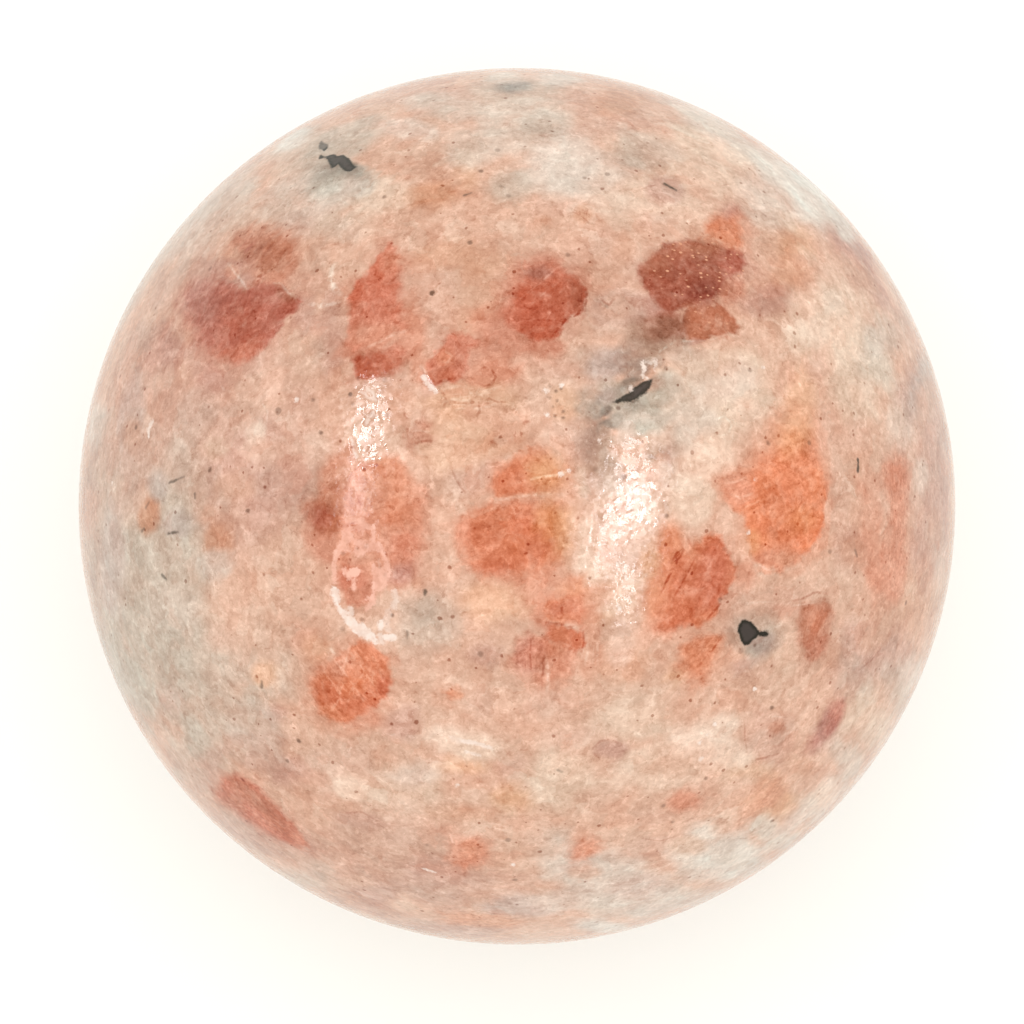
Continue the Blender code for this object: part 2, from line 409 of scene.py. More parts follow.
# Richer and paler places inside them: x, y, half width, half height, degrees, colour, strength.
GLOWS = [
    (243, 325, 24, 20, 0, "brick", 0.3), (250, 352, 20, 10, 0, "coral", 0.6),
    (200, 302, 16, 26, 0, "mauve red", 0.45), (286, 294, 12, 7, 40, "umber", 0.7),
    (228, 362, 26, 14, 0, "coral", 0.6), (277, 246, 18, 10, 0, "russet", 0.8),
    (262, 249, 6, 6, 0, "umber", 0.8), (247, 249, 5, 5, 0, "rose red", 0.8),
    (240, 270, 14, 10, 0, "mauve red", 0.5), (374, 292, 22, 28, 0, "red clay", 0.4),
    (388, 262, 10, 16, 0, "red orange", 0.4), (374, 336, 26, 14, 0, "salmon", 0.8),
    (396, 356, 14, 12, 0, "coral", 0.9), (364, 366, 14, 12, 0, "brick", 0.6),
    (536, 272, 26, 14, 0, "coral", 0.8), (578, 297, 7, 16, 0, "umber", 0.4),
    (511, 312, 9, 18, 0, "coral", 0.5), (536, 310, 24, 18, 0, "red clay", 0.5),
    (550, 294, 20, 14, 0, "brick", 0.6), (446, 358, 9, 9, 0, "orange", 0.6),
    (446, 376, 12, 8, 0, "red orange", 0.5), (656, 262, 18, 14, 0, "russet", 0.5),
    (694, 248, 26, 7, 0, "russet", 0.7), (702, 293, 18, 13, 0, "dark wine", 0.8),
    (736, 262, 14, 12, 0, "rose red", 0.8), (664, 302, 14, 12, 0, "wine red", 0.8),
    (722, 222, 14, 14, 0, "orange", 0.6), (731, 208, 10, 8, 0, "mauve red", 0.7),
    (678, 320, 6, 14, 0, "umber", 0.8), (656, 328, 14, 12, 0, "clay", 0.4),
    (318, 518, 12, 14, 0, "rose red", 0.6), (401, 508, 20, 32, 0, "orange", 0.7),
    (386, 472, 18, 16, 0, "orange", 0.6), (402, 546, 22, 22, 0, "coral", 0.5),
    (534, 470, 14, 14, 0, "golden", 0.8), (404, 576, 18, 12, 0, "mauve red", 0.9),
    # The veil pink glow at 354, 498 is painted highlight, the veil of the left gleam.
    (352, 586, 22, 24, 0, "coral", 0.8), (354, 498, 12, 40, 0, "veil pink", 0.8),
    (418, 500, 14, 18, 0, "salmon", 0.5), (488, 536, 30, 26, 0, "red orange", 0.35),
    (522, 532, 18, 22, 0, "deep orange", 0.8), (498, 566, 26, 10, 0, "red orange", 0.6),
    (550, 526, 14, 32, 0, "amber", 0.9), (538, 548, 14, 14, 0, "red orange", 0.8),
    (568, 530, 12, 30, 0, "apricot", 0.9), (542, 568, 20, 9, 0, "rust orange", 0.8),
    (462, 530, 10, 22, 0, "salmon", 0.6), (510, 476, 18, 18, 0, "rust orange", 0.9),
    (552, 476, 18, 24, 0, "apricot", 0.7), (785, 498, 26, 34, 0, "rust orange", 0.4),
    (786, 532, 26, 9, 0, "rust orange", 0.5), (780, 500, 16, 10, -20, "rust orange", 0.5),
    (736, 490, 16, 18, 0, "salmon", 0.7), (795, 432, 24, 22, 0, "apricot", 0.7),
    (776, 560, 26, 12, 0, "salmon", 0.8), (804, 458, 14, 16, 0, "orange", 0.4),
    (714, 578, 20, 32, 10, "red clay", 0.7), (688, 590, 18, 34, 15, "red orange", 0.5),
    (660, 604, 10, 30, 15, "orange", 0.7), (682, 556, 14, 12, 0, "orange", 0.6),
    (672, 622, 20, 9, -10, "red orange", 0.5), (700, 676, 10, 8, 0, "orange", 0.7),
    (670, 328, 16, 12, 0, "brown", 0.95), (676, 576, 14, 20, 0, "red orange", 0.6),
    (752, 542, 9, 12, 0, "apricot", 0.7), (556, 609, 8, 8, 0, "brick", 0.6),
    (572, 606, 12, 9, 0, "coral", 0.5), (524, 656, 14, 24, 0, "mauve red", 0.5),
    (550, 652, 20, 12, 0, "coral", 0.5), (558, 662, 20, 10, 0, "salmon", 0.7),
    (541, 668, 5, 18, 0, "umber", 0.3), (545, 684, 26, 10, 0, "salmon", 0.7),
    (370, 664, 18, 16, 0, "rust orange", 0.7), (350, 656, 12, 10, 0, "rust orange", 0.6),
    (358, 700, 26, 14, 0, "red orange", 0.7), (340, 668, 14, 12, 0, "salmon", 0.7),
    (317, 669, 9, 9, 0, "russet", 0.6), (327, 692, 12, 14, 0, "red orange", 0.6),
    (384, 686, 8, 12, 0, "red clay", 0.5), (326, 714, 12, 10, 0, "orange", 0.6),
    (815, 608, 16, 6, 0, "russet", 0.6), (815, 648, 12, 14, 0, "coral", 0.4),
    (903, 555, 10, 24, 0, "salmon", 0.6), (250, 796, 26, 8, 40, "russet", 0.7),
    (275, 820, 22, 8, 45, "russet", 0.6), (232, 806, 12, 12, 0, "clay", 0.7),
    (832, 722, 7, 12, 20, "rose red", 0.6), (470, 850, 12, 10, 0, "orange", 0.5),
    (588, 848, 10, 8, 0, "orange", 0.5), (456, 692, 5, 5, 0, "peach", 0.8),
    (539, 272, 14, 7, 0, "clay", 0.8), (362, 677, 10, 9, 0, "deep orange", 0.7),
    (352, 668, 9, 8, 0, "deep orange", 0.6), (387, 458, 10, 7, 0, "orange", 0.6),
    (787, 558, 13, 8, 0, "peach", 0.5), (838, 706, 9, 10, 0, "veil pink", 0.5),
    (517, 526, 15, 14, 0, "deep orange", 0.8), (393, 259, 7, 8, 0, "clay", 0.5),
    (379, 368, 9, 7, 0, "coral", 0.6), (695, 246, 14, 6, 0, "clay", 0.5),
    (352, 527, 9, 5, 0, "red orange", 0.7), (539, 272, 16, 8, 0, "mauve red", 0.7),
    (394, 259, 8, 9, 0, "salmon", 0.7), (676, 674, 8, 8, 0, "peach", 0.7),
    (520, 522, 14, 12, 0, "red orange", 0.7), (784, 497, 15, 15, 0, "deep orange", 0.6),
    (364, 678, 10, 9, 0, "deep orange", 0.6), (575, 625, 10, 6, 0, "red orange", 0.6),
    (354, 595, 9, 9, 0, "salmon", 0.7), (189, 330, 9, 12, 0, "rose red", 0.5),
    (498, 572, 14, 7, 0, "red orange", 0.7), (831, 648, 7, 9, 0, "clay", 0.6),
    (352, 685, 14, 12, 0, "deep orange", 0.8), (302, 842, 10, 8, 40, "salmon", 0.5),
    (560, 640, 10, 14, 0, "orange", 0.45), (815, 625, 9, 12, 0, "rust orange", 0.4),
    (800, 520, 14, 12, 0, "amber", 0.5),
]

# Ground.
# The rock between the crystals: cloudy white, cream, pink and grey feldspar with a little quartz.
GROUND_COLOURS = {
    "white": (236, 226, 212), "cream": (236, 208, 184), "warm cream": (244, 212, 188),
    "blush": (228, 184, 159), "pink": (220, 176, 154), "dusty pink": (208, 164, 146),
    "brown pink": (198, 148, 130), "tan": (216, 162, 132), "apricot": (226, 176, 142),
    "orange": (212, 150, 116), "grey": (206, 188, 170), "pale grey": (226, 208, 192),
    "stone grey": (188, 174, 158), "smoke": (176, 154, 142), "dark smoke": (146, 142, 132),
    "peach": (238, 188, 154), "rosy": (206, 140, 114), "coral mist": (218, 150, 122),
    "orange mist": (228, 152, 116), "snow": (250, 222, 200), "pearl": (228, 208, 190),
    "lilac": (208, 184, 172), "dark stone": (150, 138, 124), "sand": (218, 172, 147),
    "mist": (211, 177, 156), "warm brown": (208, 156, 130), "taupe": (184, 146, 124),
    "pale blush": (238, 198, 175), "mauve brown": (168, 138, 122), "mauve grey": (198, 175, 162),
    "ash": (192, 179, 161), "dim pink": (208, 168, 148), "ivory": (234, 206, 187),
    "smudge": (134, 116, 104), "rose grey": (216, 184, 163), "stone haze": (172, 157, 142),
    "clay cream": (214, 168, 145), "warm tan": (220, 165, 137), "fawn": (224, 188, 164),
    "salmon mist": (236, 164, 132), "haze": (190, 160, 140),
}
BASE_GROUND = "blush"
# x, y, half width, half height, degrees, colour, strength.
CLOUDS = [
    # The grey left side.
    (130, 610, 60, 110, 10, "grey", 0.8), (175, 680, 60, 60, -30, "grey", 0.7),
    (215, 740, 60, 30, -40, "grey", 0.5), (105, 520, 24, 90, 0, "grey", 0.5),
    (195, 430, 60, 60, 20, "dusty pink", 0.5), (185, 490, 30, 50, 0, "grey", 0.5),
    (250, 610, 45, 45, 0, "blush", 0.7), (235, 500, 40, 60, 0, "dusty pink", 0.5),
    (280, 470, 40, 70, 10, "dusty pink", 0.7), (218, 542, 14, 22, 0, "orange", 0.6),
    (270, 568, 34, 24, 20, "blush", 0.6), (147, 515, 11, 19, 10, "orange", 0.8),
    (310, 400, 40, 40, 0, "blush", 0.5), (262, 365, 40, 30, 40, "dusty pink", 0.5),
    (125, 400, 22, 80, 15, "dusty pink", 0.4), (100, 600, 18, 90, -5, "grey", 0.5),
    (150, 340, 24, 60, 25, "pink", 0.5), (205, 220, 30, 50, 45, "pale grey", 0.6),
    (225, 195, 24, 40, 45, "pale grey", 0.5), (150, 270, 14, 70, 35, "grey", 0.4),
    # The top left, with its corner grain's haze.
    (324, 175, 30, 24, 20, "stone grey", 0.75), (300, 150, 34, 24, -20, "grey", 0.5),
    (345, 190, 26, 18, 20, "grey", 0.5), (300, 200, 40, 30, 0, "pale grey", 0.6),
    (322, 255, 40, 32, 0, "blush", 0.7), (345, 225, 26, 14, 10, "cream", 0.6),
    (330, 330, 16, 44, 0, "brown pink", 0.6), (292, 355, 24, 40, 25, "blush", 0.5),
    (236, 240, 30, 24, 30, "tan", 0.4),
    # The top.
    (510, 90, 50, 14, -3, "grey", 0.6), (513, 87, 20, 6, -3, "dark smoke", 0.8),
    (430, 95, 50, 16, 12, "pink", 0.7), (470, 120, 60, 24, 5, "blush", 0.5),
    (544, 122, 28, 14, -10, "stone grey", 0.7), (562, 158, 38, 30, -20, "white", 0.6),
    (600, 175, 40, 20, -20, "pale grey", 0.5), (512, 186, 22, 16, 0, "grey", 0.6),
    (610, 110, 50, 20, 10, "pink", 0.7), (622, 99, 26, 12, 5, "tan", 0.7),
    (640, 148, 34, 18, 15, "grey", 0.6), (590, 140, 20, 20, 0, "pink", 0.4),
    (436, 168, 36, 20, 0, "sand", 0.9), (466, 168, 12, 20, 0, "apricot", 0.5),
    (430, 196, 30, 14, 0, "orange", 0.8), (482, 258, 30, 16, 0, "tan", 0.7),
    (500, 225, 60, 26, 0, "blush", 0.6), (380, 200, 30, 26, 0, "cream", 0.5),
    (600, 270, 40, 40, 0, "pink", 0.5), (583, 213, 9, 9, 0, "orange", 0.6),
    (542, 222, 10, 7, 0, "tan", 0.5), (470, 300, 36, 40, 0, "tan", 0.5), (440, 300, 20, 50, 0, "pink", 0.5),
    (655, 205, 50, 24, 10, "warm cream", 0.6), (650, 235, 30, 14, 0, "blush", 0.5),
    # The upper right.
    (700, 165, 44, 20, 20, "cream", 0.5), (786, 236, 28, 22, 30, "apricot", 0.7),
    (786, 242, 15, 12, 30, "orange", 0.7), (790, 270, 26, 18, 20, "orange", 0.6),
    (767, 300, 26, 16, 0, "brown pink", 0.7), (760, 250, 20, 40, 10, "pink", 0.5),
    (812, 195, 40, 26, 50, "white", 0.8), (780, 190, 40, 24, 40, "white", 0.4),
    (845, 230, 30, 14, 50, "grey", 0.4), (830, 316, 36, 30, 20, "warm cream", 0.8),
    (862, 300, 20, 30, -30, "blush", 0.4), (853, 246, 34, 11, 48, "brown pink", 0.8),
    (878, 290, 24, 9, 58, "brown pink", 0.7), (905, 330, 30, 12, 62, "pink", 0.5),
    (795, 340, 20, 16, 0, "cream", 0.5),
    # The cream middle right.
    (725, 380, 64, 34, -10, "cream", 0.9), (700, 420, 50, 26, 0, "cream", 0.7),
    # The cream cloud at 696, 500 is pale ground and partly painted highlight, the wide veil about the right
    # gleam.
    (696, 500, 22, 24, 0, "cream", 0.8), (625, 500, 44, 50, 0, "blush", 0.8),
    (612, 560, 34, 40, 0, "blush", 0.6), (600, 600, 30, 24, 0, "peach", 0.6),
    (860, 370, 30, 50, 0, "cream", 0.7), (800, 400, 16, 40, 5, "peach", 0.8),
    (775, 350, 14, 24, 0, "blush", 0.5), (838, 500, 12, 40, 0, "pink", 0.8),
    (850, 552, 16, 22, 0, "dusty pink", 0.7), (868, 470, 16, 30, 0, "blush", 0.5),
    (926, 440, 18, 60, 10, "pink", 0.7), (935, 520, 14, 60, 5, "pink", 0.6),
    (905, 410, 14, 40, 10, "pale grey", 0.4), (915, 600, 20, 50, 15, "tan", 0.4),
    (880, 650, 34, 30, 30, "dusty pink", 0.7), (845, 580, 20, 40, 0, "blush", 0.4),
    # The middle.
    (545, 405, 26, 22, 0, "blush", 0.6), (470, 400, 44, 20, 0, "apricot", 0.6),
    (505, 440, 24, 16, 0, "tan", 0.7), (470, 478, 22, 20, 0, "pink", 0.8),
    (450, 440, 30, 30, 0, "peach", 0.5), (440, 540, 14, 50, 0, "blush", 0.6),
    (500, 600, 44, 20, 0, "peach", 0.7), (428, 622, 32, 34, 0, "rose grey", 0.85),
    (426, 612, 12, 14, 0, "grey", 0.5), (420, 680, 24, 30, 0, "blush", 0.5),
    (484, 655, 20, 13, 0, "dusty pink", 0.6), (404, 724, 19, 17, 0, "dusty pink", 0.7),
    (590, 652, 14, 34, 0, "tan", 0.5), (512, 762, 17, 14, 0, "pink", 0.7),
    (560, 780, 36, 30, 0, "cream", 0.7), (611, 750, 20, 11, 0, "dusty pink", 0.8),
    (465, 765, 24, 10, 0, "peach", 0.8), (510, 802, 22, 12, 0, "apricot", 0.7),
    (460, 812, 36, 10, 0, "tan", 0.6), (400, 790, 44, 24, 0, "cream", 0.5),
    (375, 763, 10, 8, 0, "tan", 0.6), (570, 700, 60, 24, 0, "blush", 0.5),
    (690, 712, 18, 14, 0, "blush", 0.6), (640, 720, 40, 24, 0, "cream", 0.6),
    (660, 770, 40, 24, 0, "cream", 0.4), (770, 737, 27, 26, 0, "pink", 0.8),
    (725, 680, 40, 24, 0, "blush", 0.5), (757, 648, 14, 9, 0, "stone grey", 0.6),
    (780, 650, 20, 24, 0, "cream", 0.5), (790, 600, 30, 14, 0, "pink", 0.4),
    (735, 612, 20, 30, 0, "pink", 0.5),
    # The lower left.
    (265, 674, 12, 12, 0, "peach", 0.7), (276, 713, 12, 10, 0, "brown pink", 0.6),
    (289, 774, 20, 16, 0, "brown pink", 0.7), (250, 720, 24, 20, 0, "pale grey", 0.5),
    (335, 770, 40, 30, 0, "pink", 0.5), (170, 700, 14, 12, 30, "dusty pink", 0.4),
    (212, 760, 26, 10, -45, "dusty pink", 0.4), (190, 760, 30, 8, -50, "grey", 0.5),
    (340, 855, 60, 30, -15, "pink", 0.6), (300, 880, 50, 12, -35, "grey", 0.4),
    (362, 820, 26, 8, 10, "dusty pink", 0.4), (430, 860, 50, 30, 0, "pink", 0.6),
    (370, 900, 40, 10, -18, "dusty pink", 0.6), (480, 890, 60, 16, -5, "pink", 0.5),
    # The lower right.
    (576, 870, 16, 5, 0, "dusty pink", 0.6), (620, 890, 70, 28, 12, "pale grey", 0.8),
    (650, 846, 30, 10, -8, "pink", 0.6), (735, 860, 40, 22, 25, "white", 0.7),
    (700, 900, 40, 16, 20, "pale grey", 0.5), (815, 812, 22, 10, 42, "pale grey", 0.7),
    (770, 800, 44, 22, 40, "apricot", 0.5), (802, 765, 14, 12, 50, "tan", 0.5),
    (870, 720, 40, 22, 55, "cream", 0.6), (840, 790, 30, 12, 45, "pale grey", 0.5),
    (900, 690, 34, 12, 62, "grey", 0.4), (860, 680, 22, 12, 55, "grey", 0.4),
    # Smaller patches that lie over those.
    (268, 276, 34, 12, 0, "rosy", 0.8), (200, 355, 18, 24, 0, "brown pink", 0.6),
    (158, 345, 14, 26, 20, "brown pink", 0.6), (445, 250, 30, 14, 0, "tan", 0.5),
    (502, 336, 20, 30, 20, "rosy", 0.95), (540, 347, 24, 12, 0, "rosy", 0.8),
    (488, 372, 28, 14, 0, "coral mist", 0.9), (362, 346, 26, 12, -15, "rosy", 0.9),
    (412, 335, 15, 26, 0, "coral mist", 0.8), (390, 382, 22, 12, 0, "pink", 0.6),
    (334, 485, 13, 44, 0, "coral mist", 0.95), (329, 545, 15, 18, 0, "rosy", 0.9),
    (500, 478, 14, 18, 0, "coral mist", 0.8), (664, 572, 13, 48, 14, "orange mist", 0.95),
    (562, 602, 46, 14, 0, "coral mist", 0.7), (590, 640, 14, 30, 0, "coral mist", 0.5),
    (630, 665, 24, 14, -20, "tan", 0.7), (800, 612, 34, 8, 0, "rosy", 0.5),
    (752, 668, 20, 10, 0, "dusty pink", 0.6), (848, 680, 20, 16, 0, "brown pink", 0.4),
    (690, 420, 26, 18, 0, "pearl", 0.7), (256, 432, 9, 12, 0, "snow", 0.7),
    (446, 737, 20, 12, 0, "snow", 0.9), (485, 748, 40, 12, 8, "warm cream", 0.7),
    (350, 788, 18, 12, 0, "warm cream", 0.7), (712, 746, 38, 18, 20, "snow", 0.7),
    # The warm cream cloud at 690, 500 is pale ground and partly painted highlight, the wide veil about the
    # right gleam.
    (690, 500, 20, 26, 0, "warm cream", 0.9), (600, 792, 22, 12, 0, "warm cream", 0.6),
    (362, 718, 18, 12, 0, "coral mist", 0.8), (306, 640, 16, 16, 0, "rosy", 0.4),
    (870, 522, 12, 46, 0, "coral mist", 0.6), (882, 596, 14, 26, 0, "coral mist", 0.5),
    (938, 490, 14, 90, 0, "dusty pink", 0.7), (848, 296, 26, 26, 45, "warm cream", 0.6),
    (443, 872, 30, 16, 0, "brown pink", 0.5), (360, 895, 40, 12, -20, "dusty pink", 0.6),
    (470, 928, 40, 8, 0, "dusty pink", 0.7), (640, 888, 30, 12, 0, "dusty pink", 0.4),
    (450, 105, 44, 14, 8, "pearl", 0.7), (520, 112, 50, 16, 0, "pearl", 0.7),
    (470, 145, 26, 22, 0, "pearl", 0.6), (720, 130, 60, 12, 35, "pearl", 0.8),
    (780, 172, 30, 20, 45, "white", 0.5), (345, 140, 40, 18, -25, "grey", 0.8),
    (345, 172, 26, 14, 20, "stone grey", 0.9), (343, 166, 16, 8, 20, "dark stone", 0.6),
    (880, 350, 16, 40, 0, "grey", 0.5), (912, 380, 10, 26, 15, "dusty pink", 0.6),
    (625, 305, 34, 14, 0, "dusty pink", 0.7), (650, 308, 20, 10, 0, "brown pink", 0.9),
    (688, 336, 16, 8, 0, "brown pink", 0.9), (666, 192, 18, 14, 0, "dusty pink", 0.7),
    (612, 200, 24, 14, 0, "snow", 0.5), (658, 222, 18, 10, 0, "pink", 0.6),
    (755, 634, 26, 20, 0, "stone grey", 0.6), (762, 642, 16, 9, 0, "smoke", 0.7),
    (838, 500, 10, 36, 0, "blush", 0.5), (700, 550, 10, 8, 0, "apricot", 0.5),
    # The warm cream cloud at 615, 590 is pale ground and partly painted highlight under the right gleam.
    (615, 590, 20, 26, 0, "warm cream", 0.6), (130, 420, 12, 50, 5, "lilac", 0.5),
    (110, 560, 12, 60, 0, "lilac", 0.6), (525, 908, 40, 12, 0, "lilac", 0.6),
    (700, 868, 30, 14, 15, "white", 0.5), (778, 838, 34, 14, 38, "pearl", 0.8),
    (850, 762, 30, 12, 52, "pearl", 0.6),
    # Brown and pink ground about the upper crystals.
    (598, 278, 34, 22, 0, "warm brown", 0.8), (614, 312, 28, 22, 0, "dim pink", 0.8),
    (640, 332, 14, 12, 0, "taupe", 0.9), (672, 344, 16, 7, -10, "taupe", 0.9),
    (690, 357, 20, 8, 0, "mist", 0.8), (732, 290, 15, 14, 0, "rosy", 0.9),
    (580, 326, 14, 12, 0, "warm brown", 0.7), (528, 241, 38, 16, 0, "sand", 0.7),
    (388, 224, 22, 14, 0, "sand", 0.7), (342, 228, 22, 14, 0, "mist", 0.7),
    (668, 229, 20, 9, 0, "sand", 0.8), (222, 268, 18, 9, 0, "brown pink", 0.9),
    (202, 274, 16, 16, 0, "brown pink", 0.6), (236, 276, 6, 13, -38, "warm cream", 0.8),
    (306, 316, 12, 20, 10, "brown pink", 0.7), (345, 378, 13, 13, 0, "warm brown", 0.8),
    (338, 398, 16, 14, 0, "sand", 0.7), (390, 392, 18, 12, 0, "sand", 0.7),
    (474, 388, 28, 11, 0, "tan", 0.7), (486, 446, 28, 11, 0, "tan", 0.7),
    (562, 402, 15, 20, 0, "apricot", 0.6),
    # The left side.
    (225, 208, 24, 18, -40, "mist", 0.8), (280, 206, 24, 13, -20, "mist", 0.7),
    (174, 348, 15, 18, 0, "brown pink", 0.8), (214, 380, 14, 13, 0, "brown pink", 0.7),
    (198, 408, 18, 16, 0, "dim pink", 0.8), (134, 458, 15, 42, 0, "dim pink", 0.8),
    (142, 336, 12, 20, 25, "dim pink", 0.7), (90, 500, 10, 46, 0, "mist", 0.9),
    (266, 382, 24, 14, 0, "pale blush", 0.9), (312, 449, 24, 16, 0, "pale blush", 0.8),
    (214, 565, 18, 14, 0, "pale grey", 0.7), (309, 536, 13, 18, 0, "rosy", 0.7),
    (282, 548, 18, 16, 0, "sand", 0.8), (304, 600, 22, 24, 0, "sand", 0.7),
    (318, 648, 15, 18, 0, "tan", 0.9), (326, 632, 12, 10, 0, "sand", 0.8),
    (265, 742, 22, 14, 0, "dim pink", 0.8), (257, 724, 14, 8, 0, "mist", 0.7),
    (260, 762, 22, 10, 0, "dim pink", 0.8), (205, 780, 18, 14, 45, "dim pink", 0.8),
    (240, 830, 36, 13, 40, "dim pink", 0.8), (300, 790, 20, 12, 0, "warm brown", 0.6),
    (442, 894, 30, 12, 0, "dim pink", 0.7), (266, 843, 24, 8, 35, "dim pink", 0.6),
    # The middle and the foot.
    (574, 588, 24, 12, 0, "orange mist", 0.8), (536, 582, 34, 9, 0, "coral mist", 0.8),
    (540, 595, 26, 8, 0, "coral mist", 0.7), (548, 704, 26, 13, 0, "pale blush", 0.8),
    (595, 800, 22, 10, 0, "sand", 0.7), (586, 873, 18, 7, 0, "sand", 0.7),
    (408, 128, 30, 10, 8, "ivory", 0.9), (356, 188, 14, 9, 0, "pale grey", 0.7),
    (658, 151, 22, 11, 10, "mist", 0.7),
    # The right side.
    (744, 576, 11, 15, 0, "coral mist", 0.8), (762, 617, 16, 11, 0, "taupe", 0.6),
    (724, 648, 9, 13, 0, "warm brown", 0.7), (708, 456, 26, 16, 0, "warm cream", 0.9),
    (858, 275, 26, 12, 50, "sand", 0.7), (930, 388, 10, 34, 12, "mist", 0.8),
    (853, 554, 12, 18, 0, "warm brown", 0.8), (882, 624, 15, 22, 0, "warm brown", 0.6),
    (826, 798, 20, 10, -48, "snow", 0.7), (912, 673, 10, 16, 25, "ivory", 0.9),
    (760, 535, 8, 10, 0, "salmon mist", 0.7),
    # The grey haze round the needle.
    (586, 362, 14, 16, 0, "mist", 0.7), (606, 366, 22, 16, -20, "mauve grey", 0.9),
    (632, 360, 16, 18, 0, "mauve brown", 0.65), (652, 348, 12, 11, 0, "taupe", 0.9),
    (612, 391, 17, 12, -20, "ash", 0.7), (629, 383, 12, 6, -15, "dark stone", 0.6),
    (630, 396, 20, 8, -28, "dark stone", 0.45), (649, 370, 6, 8, 0, "sand", 0.8),
    (669, 384, 16, 13, -20, "grey", 0.8), (645, 404, 24, 9, -20, "ash", 0.9),
    (620, 406, 13, 7, 0, "ash", 0.8), (640, 423, 24, 11, 0, "pearl", 0.8),
    (606, 411, 7, 5, -30, "smudge", 0.8), (609, 424, 8, 4, 20, "smudge", 0.8),
    (594, 427, 9, 15, 0, "mauve brown", 0.6), (589, 448, 15, 16, 0, "mauve brown", 0.7),
    (601, 466, 13, 9, 0, "taupe", 0.7), (652, 458, 7, 8, 0, "sand", 0.7),
    (670, 448, 10, 18, 0, "sand", 0.9), (646, 427, 12, 7, 0, "ash", 0.8),
    (585, 474, 12, 9, 0, "taupe", 0.6), (598, 490, 9, 12, 0, "pink", 0.6),
    # Small places.
    (200, 262, 24, 18, -40, "dim pink", 0.5), (306, 300, 14, 24, 0, "dim pink", 0.6),
    (262, 452, 20, 13, 0, "pale blush", 0.8), (301, 671, 12, 14, 0, "sand", 0.8),
    (235, 487, 22, 14, 0, "sand", 0.8), (88, 506, 9, 24, 0, "dim pink", 0.8),
    (176, 523, 14, 14, 0, "mauve grey", 0.7), (299, 842, 22, 9, 20, "dim pink", 0.7),
    (293, 139, 18, 9, -35, "white", 0.8), (323, 181, 14, 7, 10, "stone grey", 0.7),
    (408, 579, 12, 11, 0, "tan", 0.8), (422, 370, 12, 14, 0, "coral mist", 0.6),
    (438, 256, 20, 13, 0, "tan", 0.7), (422, 237, 22, 11, 0, "sand", 0.8),
    (473, 353, 8, 12, 0, "rosy", 0.7), (482, 323, 12, 14, 0, "coral mist", 0.7),
    (479, 378, 13, 8, 0, "coral mist", 0.7), (479, 754, 26, 9, 0, "warm cream", 0.9),
    (635, 714, 24, 12, 0, "warm cream", 0.9), (604, 927, 30, 6, 12, "white", 0.8),
    (730, 155, 32, 9, 35, "warm cream", 0.8), (764, 676, 14, 11, 0, "sand", 0.8),
    (795, 822, 22, 8, -42, "ivory", 0.9), (691, 847, 18, 8, 0, "pale blush", 0.6),
    (823, 439, 10, 13, 0, "pale blush", 0.8), (880, 578, 12, 16, 0, "coral mist", 0.8),
    (874, 340, 12, 18, 0, "pearl", 0.8), (812, 634, 28, 34, 0, "sand", 0.5),
    (558, 78, 22, 6, 5, "pale grey", 0.8), (505, 77, 20, 5, 0, "pearl", 0.8),
    (844, 227, 16, 12, 50, "pale grey", 0.8), (502, 921, 24, 6, 0, "blush", 0.6),
    (634, 406, 14, 6, -15, "stone haze", 0.7), (611, 394, 14, 9, -20, "stone haze", 0.8),
    (604, 430, 9, 10, 0, "stone haze", 0.6), (660, 398, 18, 10, -15, "ash", 0.6),
    (682, 398, 14, 14, 0, "grey", 0.6), (694, 382, 14, 12, 0, "grey", 0.5),
    (608, 455, 9, 15, 0, "mist", 0.8), (598, 592, 13, 14, 0, "warm tan", 0.7),
    (539, 612, 9, 12, 0, "coral mist", 0.8), (790, 371, 14, 18, 0, "warm tan", 0.6),
    (688, 846, 20, 9, 0, "fawn", 0.9), (888, 614, 11, 20, 0, "warm brown", 0.7),
    (485, 413, 24, 11, 0, "warm tan", 0.8), (478, 811, 26, 8, 0, "warm tan", 0.8),
    (401, 408, 12, 18, 0, "warm tan", 0.5), (515, 421, 14, 9, 0, "warm tan", 0.7),
    (444, 518, 8, 20, 0, "warm tan", 0.5), (714, 657, 9, 12, 0, "warm tan", 0.8),
    (614, 308, 16, 14, 0, "warm brown", 0.6), (921, 388, 10, 32, 12, "mauve grey", 0.8),
    (356, 757, 17, 12, 0, "pale blush", 0.8), (248, 394, 16, 12, 0, "pale blush", 0.7),
    (892, 576, 9, 16, 0, "coral mist", 0.7), (293, 225, 18, 13, 0, "dim pink", 0.7),
    (862, 277, 16, 10, 50, "clay cream", 0.8), (157, 483, 12, 16, 0, "mauve grey", 0.7),
    (229, 820, 30, 10, 40, "dim pink", 0.7), (240, 715, 18, 11, 0, "mist", 0.8),
    (391, 917, 42, 8, 17, "clay cream", 0.8), (350, 902, 26, 9, 22, "clay cream", 0.7),
    (372, 870, 30, 14, 12, "clay cream", 0.8), (89, 530, 9, 90, 0, "dim pink", 0.5),
    (320, 256, 12, 14, 0, "mist", 0.5), (725, 382, 40, 20, -10, "ivory", 0.6),
    # The warm cream clouds at 580, 505 and 583, 545 are pale ground and partly painted highlight under the
    # right gleam.
    (440, 930, 50, 8, 5, "dim pink", 0.5), (580, 505, 9, 34, 0, "warm cream", 0.7),
    (583, 545, 10, 16, 0, "warm cream", 0.7), (622, 420, 12, 10, 0, "grey", 0.9),
    (605, 396, 12, 8, -20, "mauve grey", 0.6), (652, 416, 18, 9, 0, "grey", 0.6),
    (700, 370, 24, 14, -10, "fawn", 0.8), (560, 455, 12, 9, 0, "fawn", 0.7),
    (570, 738, 24, 13, 0, "pale blush", 0.8), (644, 757, 18, 10, 0, "warm cream", 0.8),
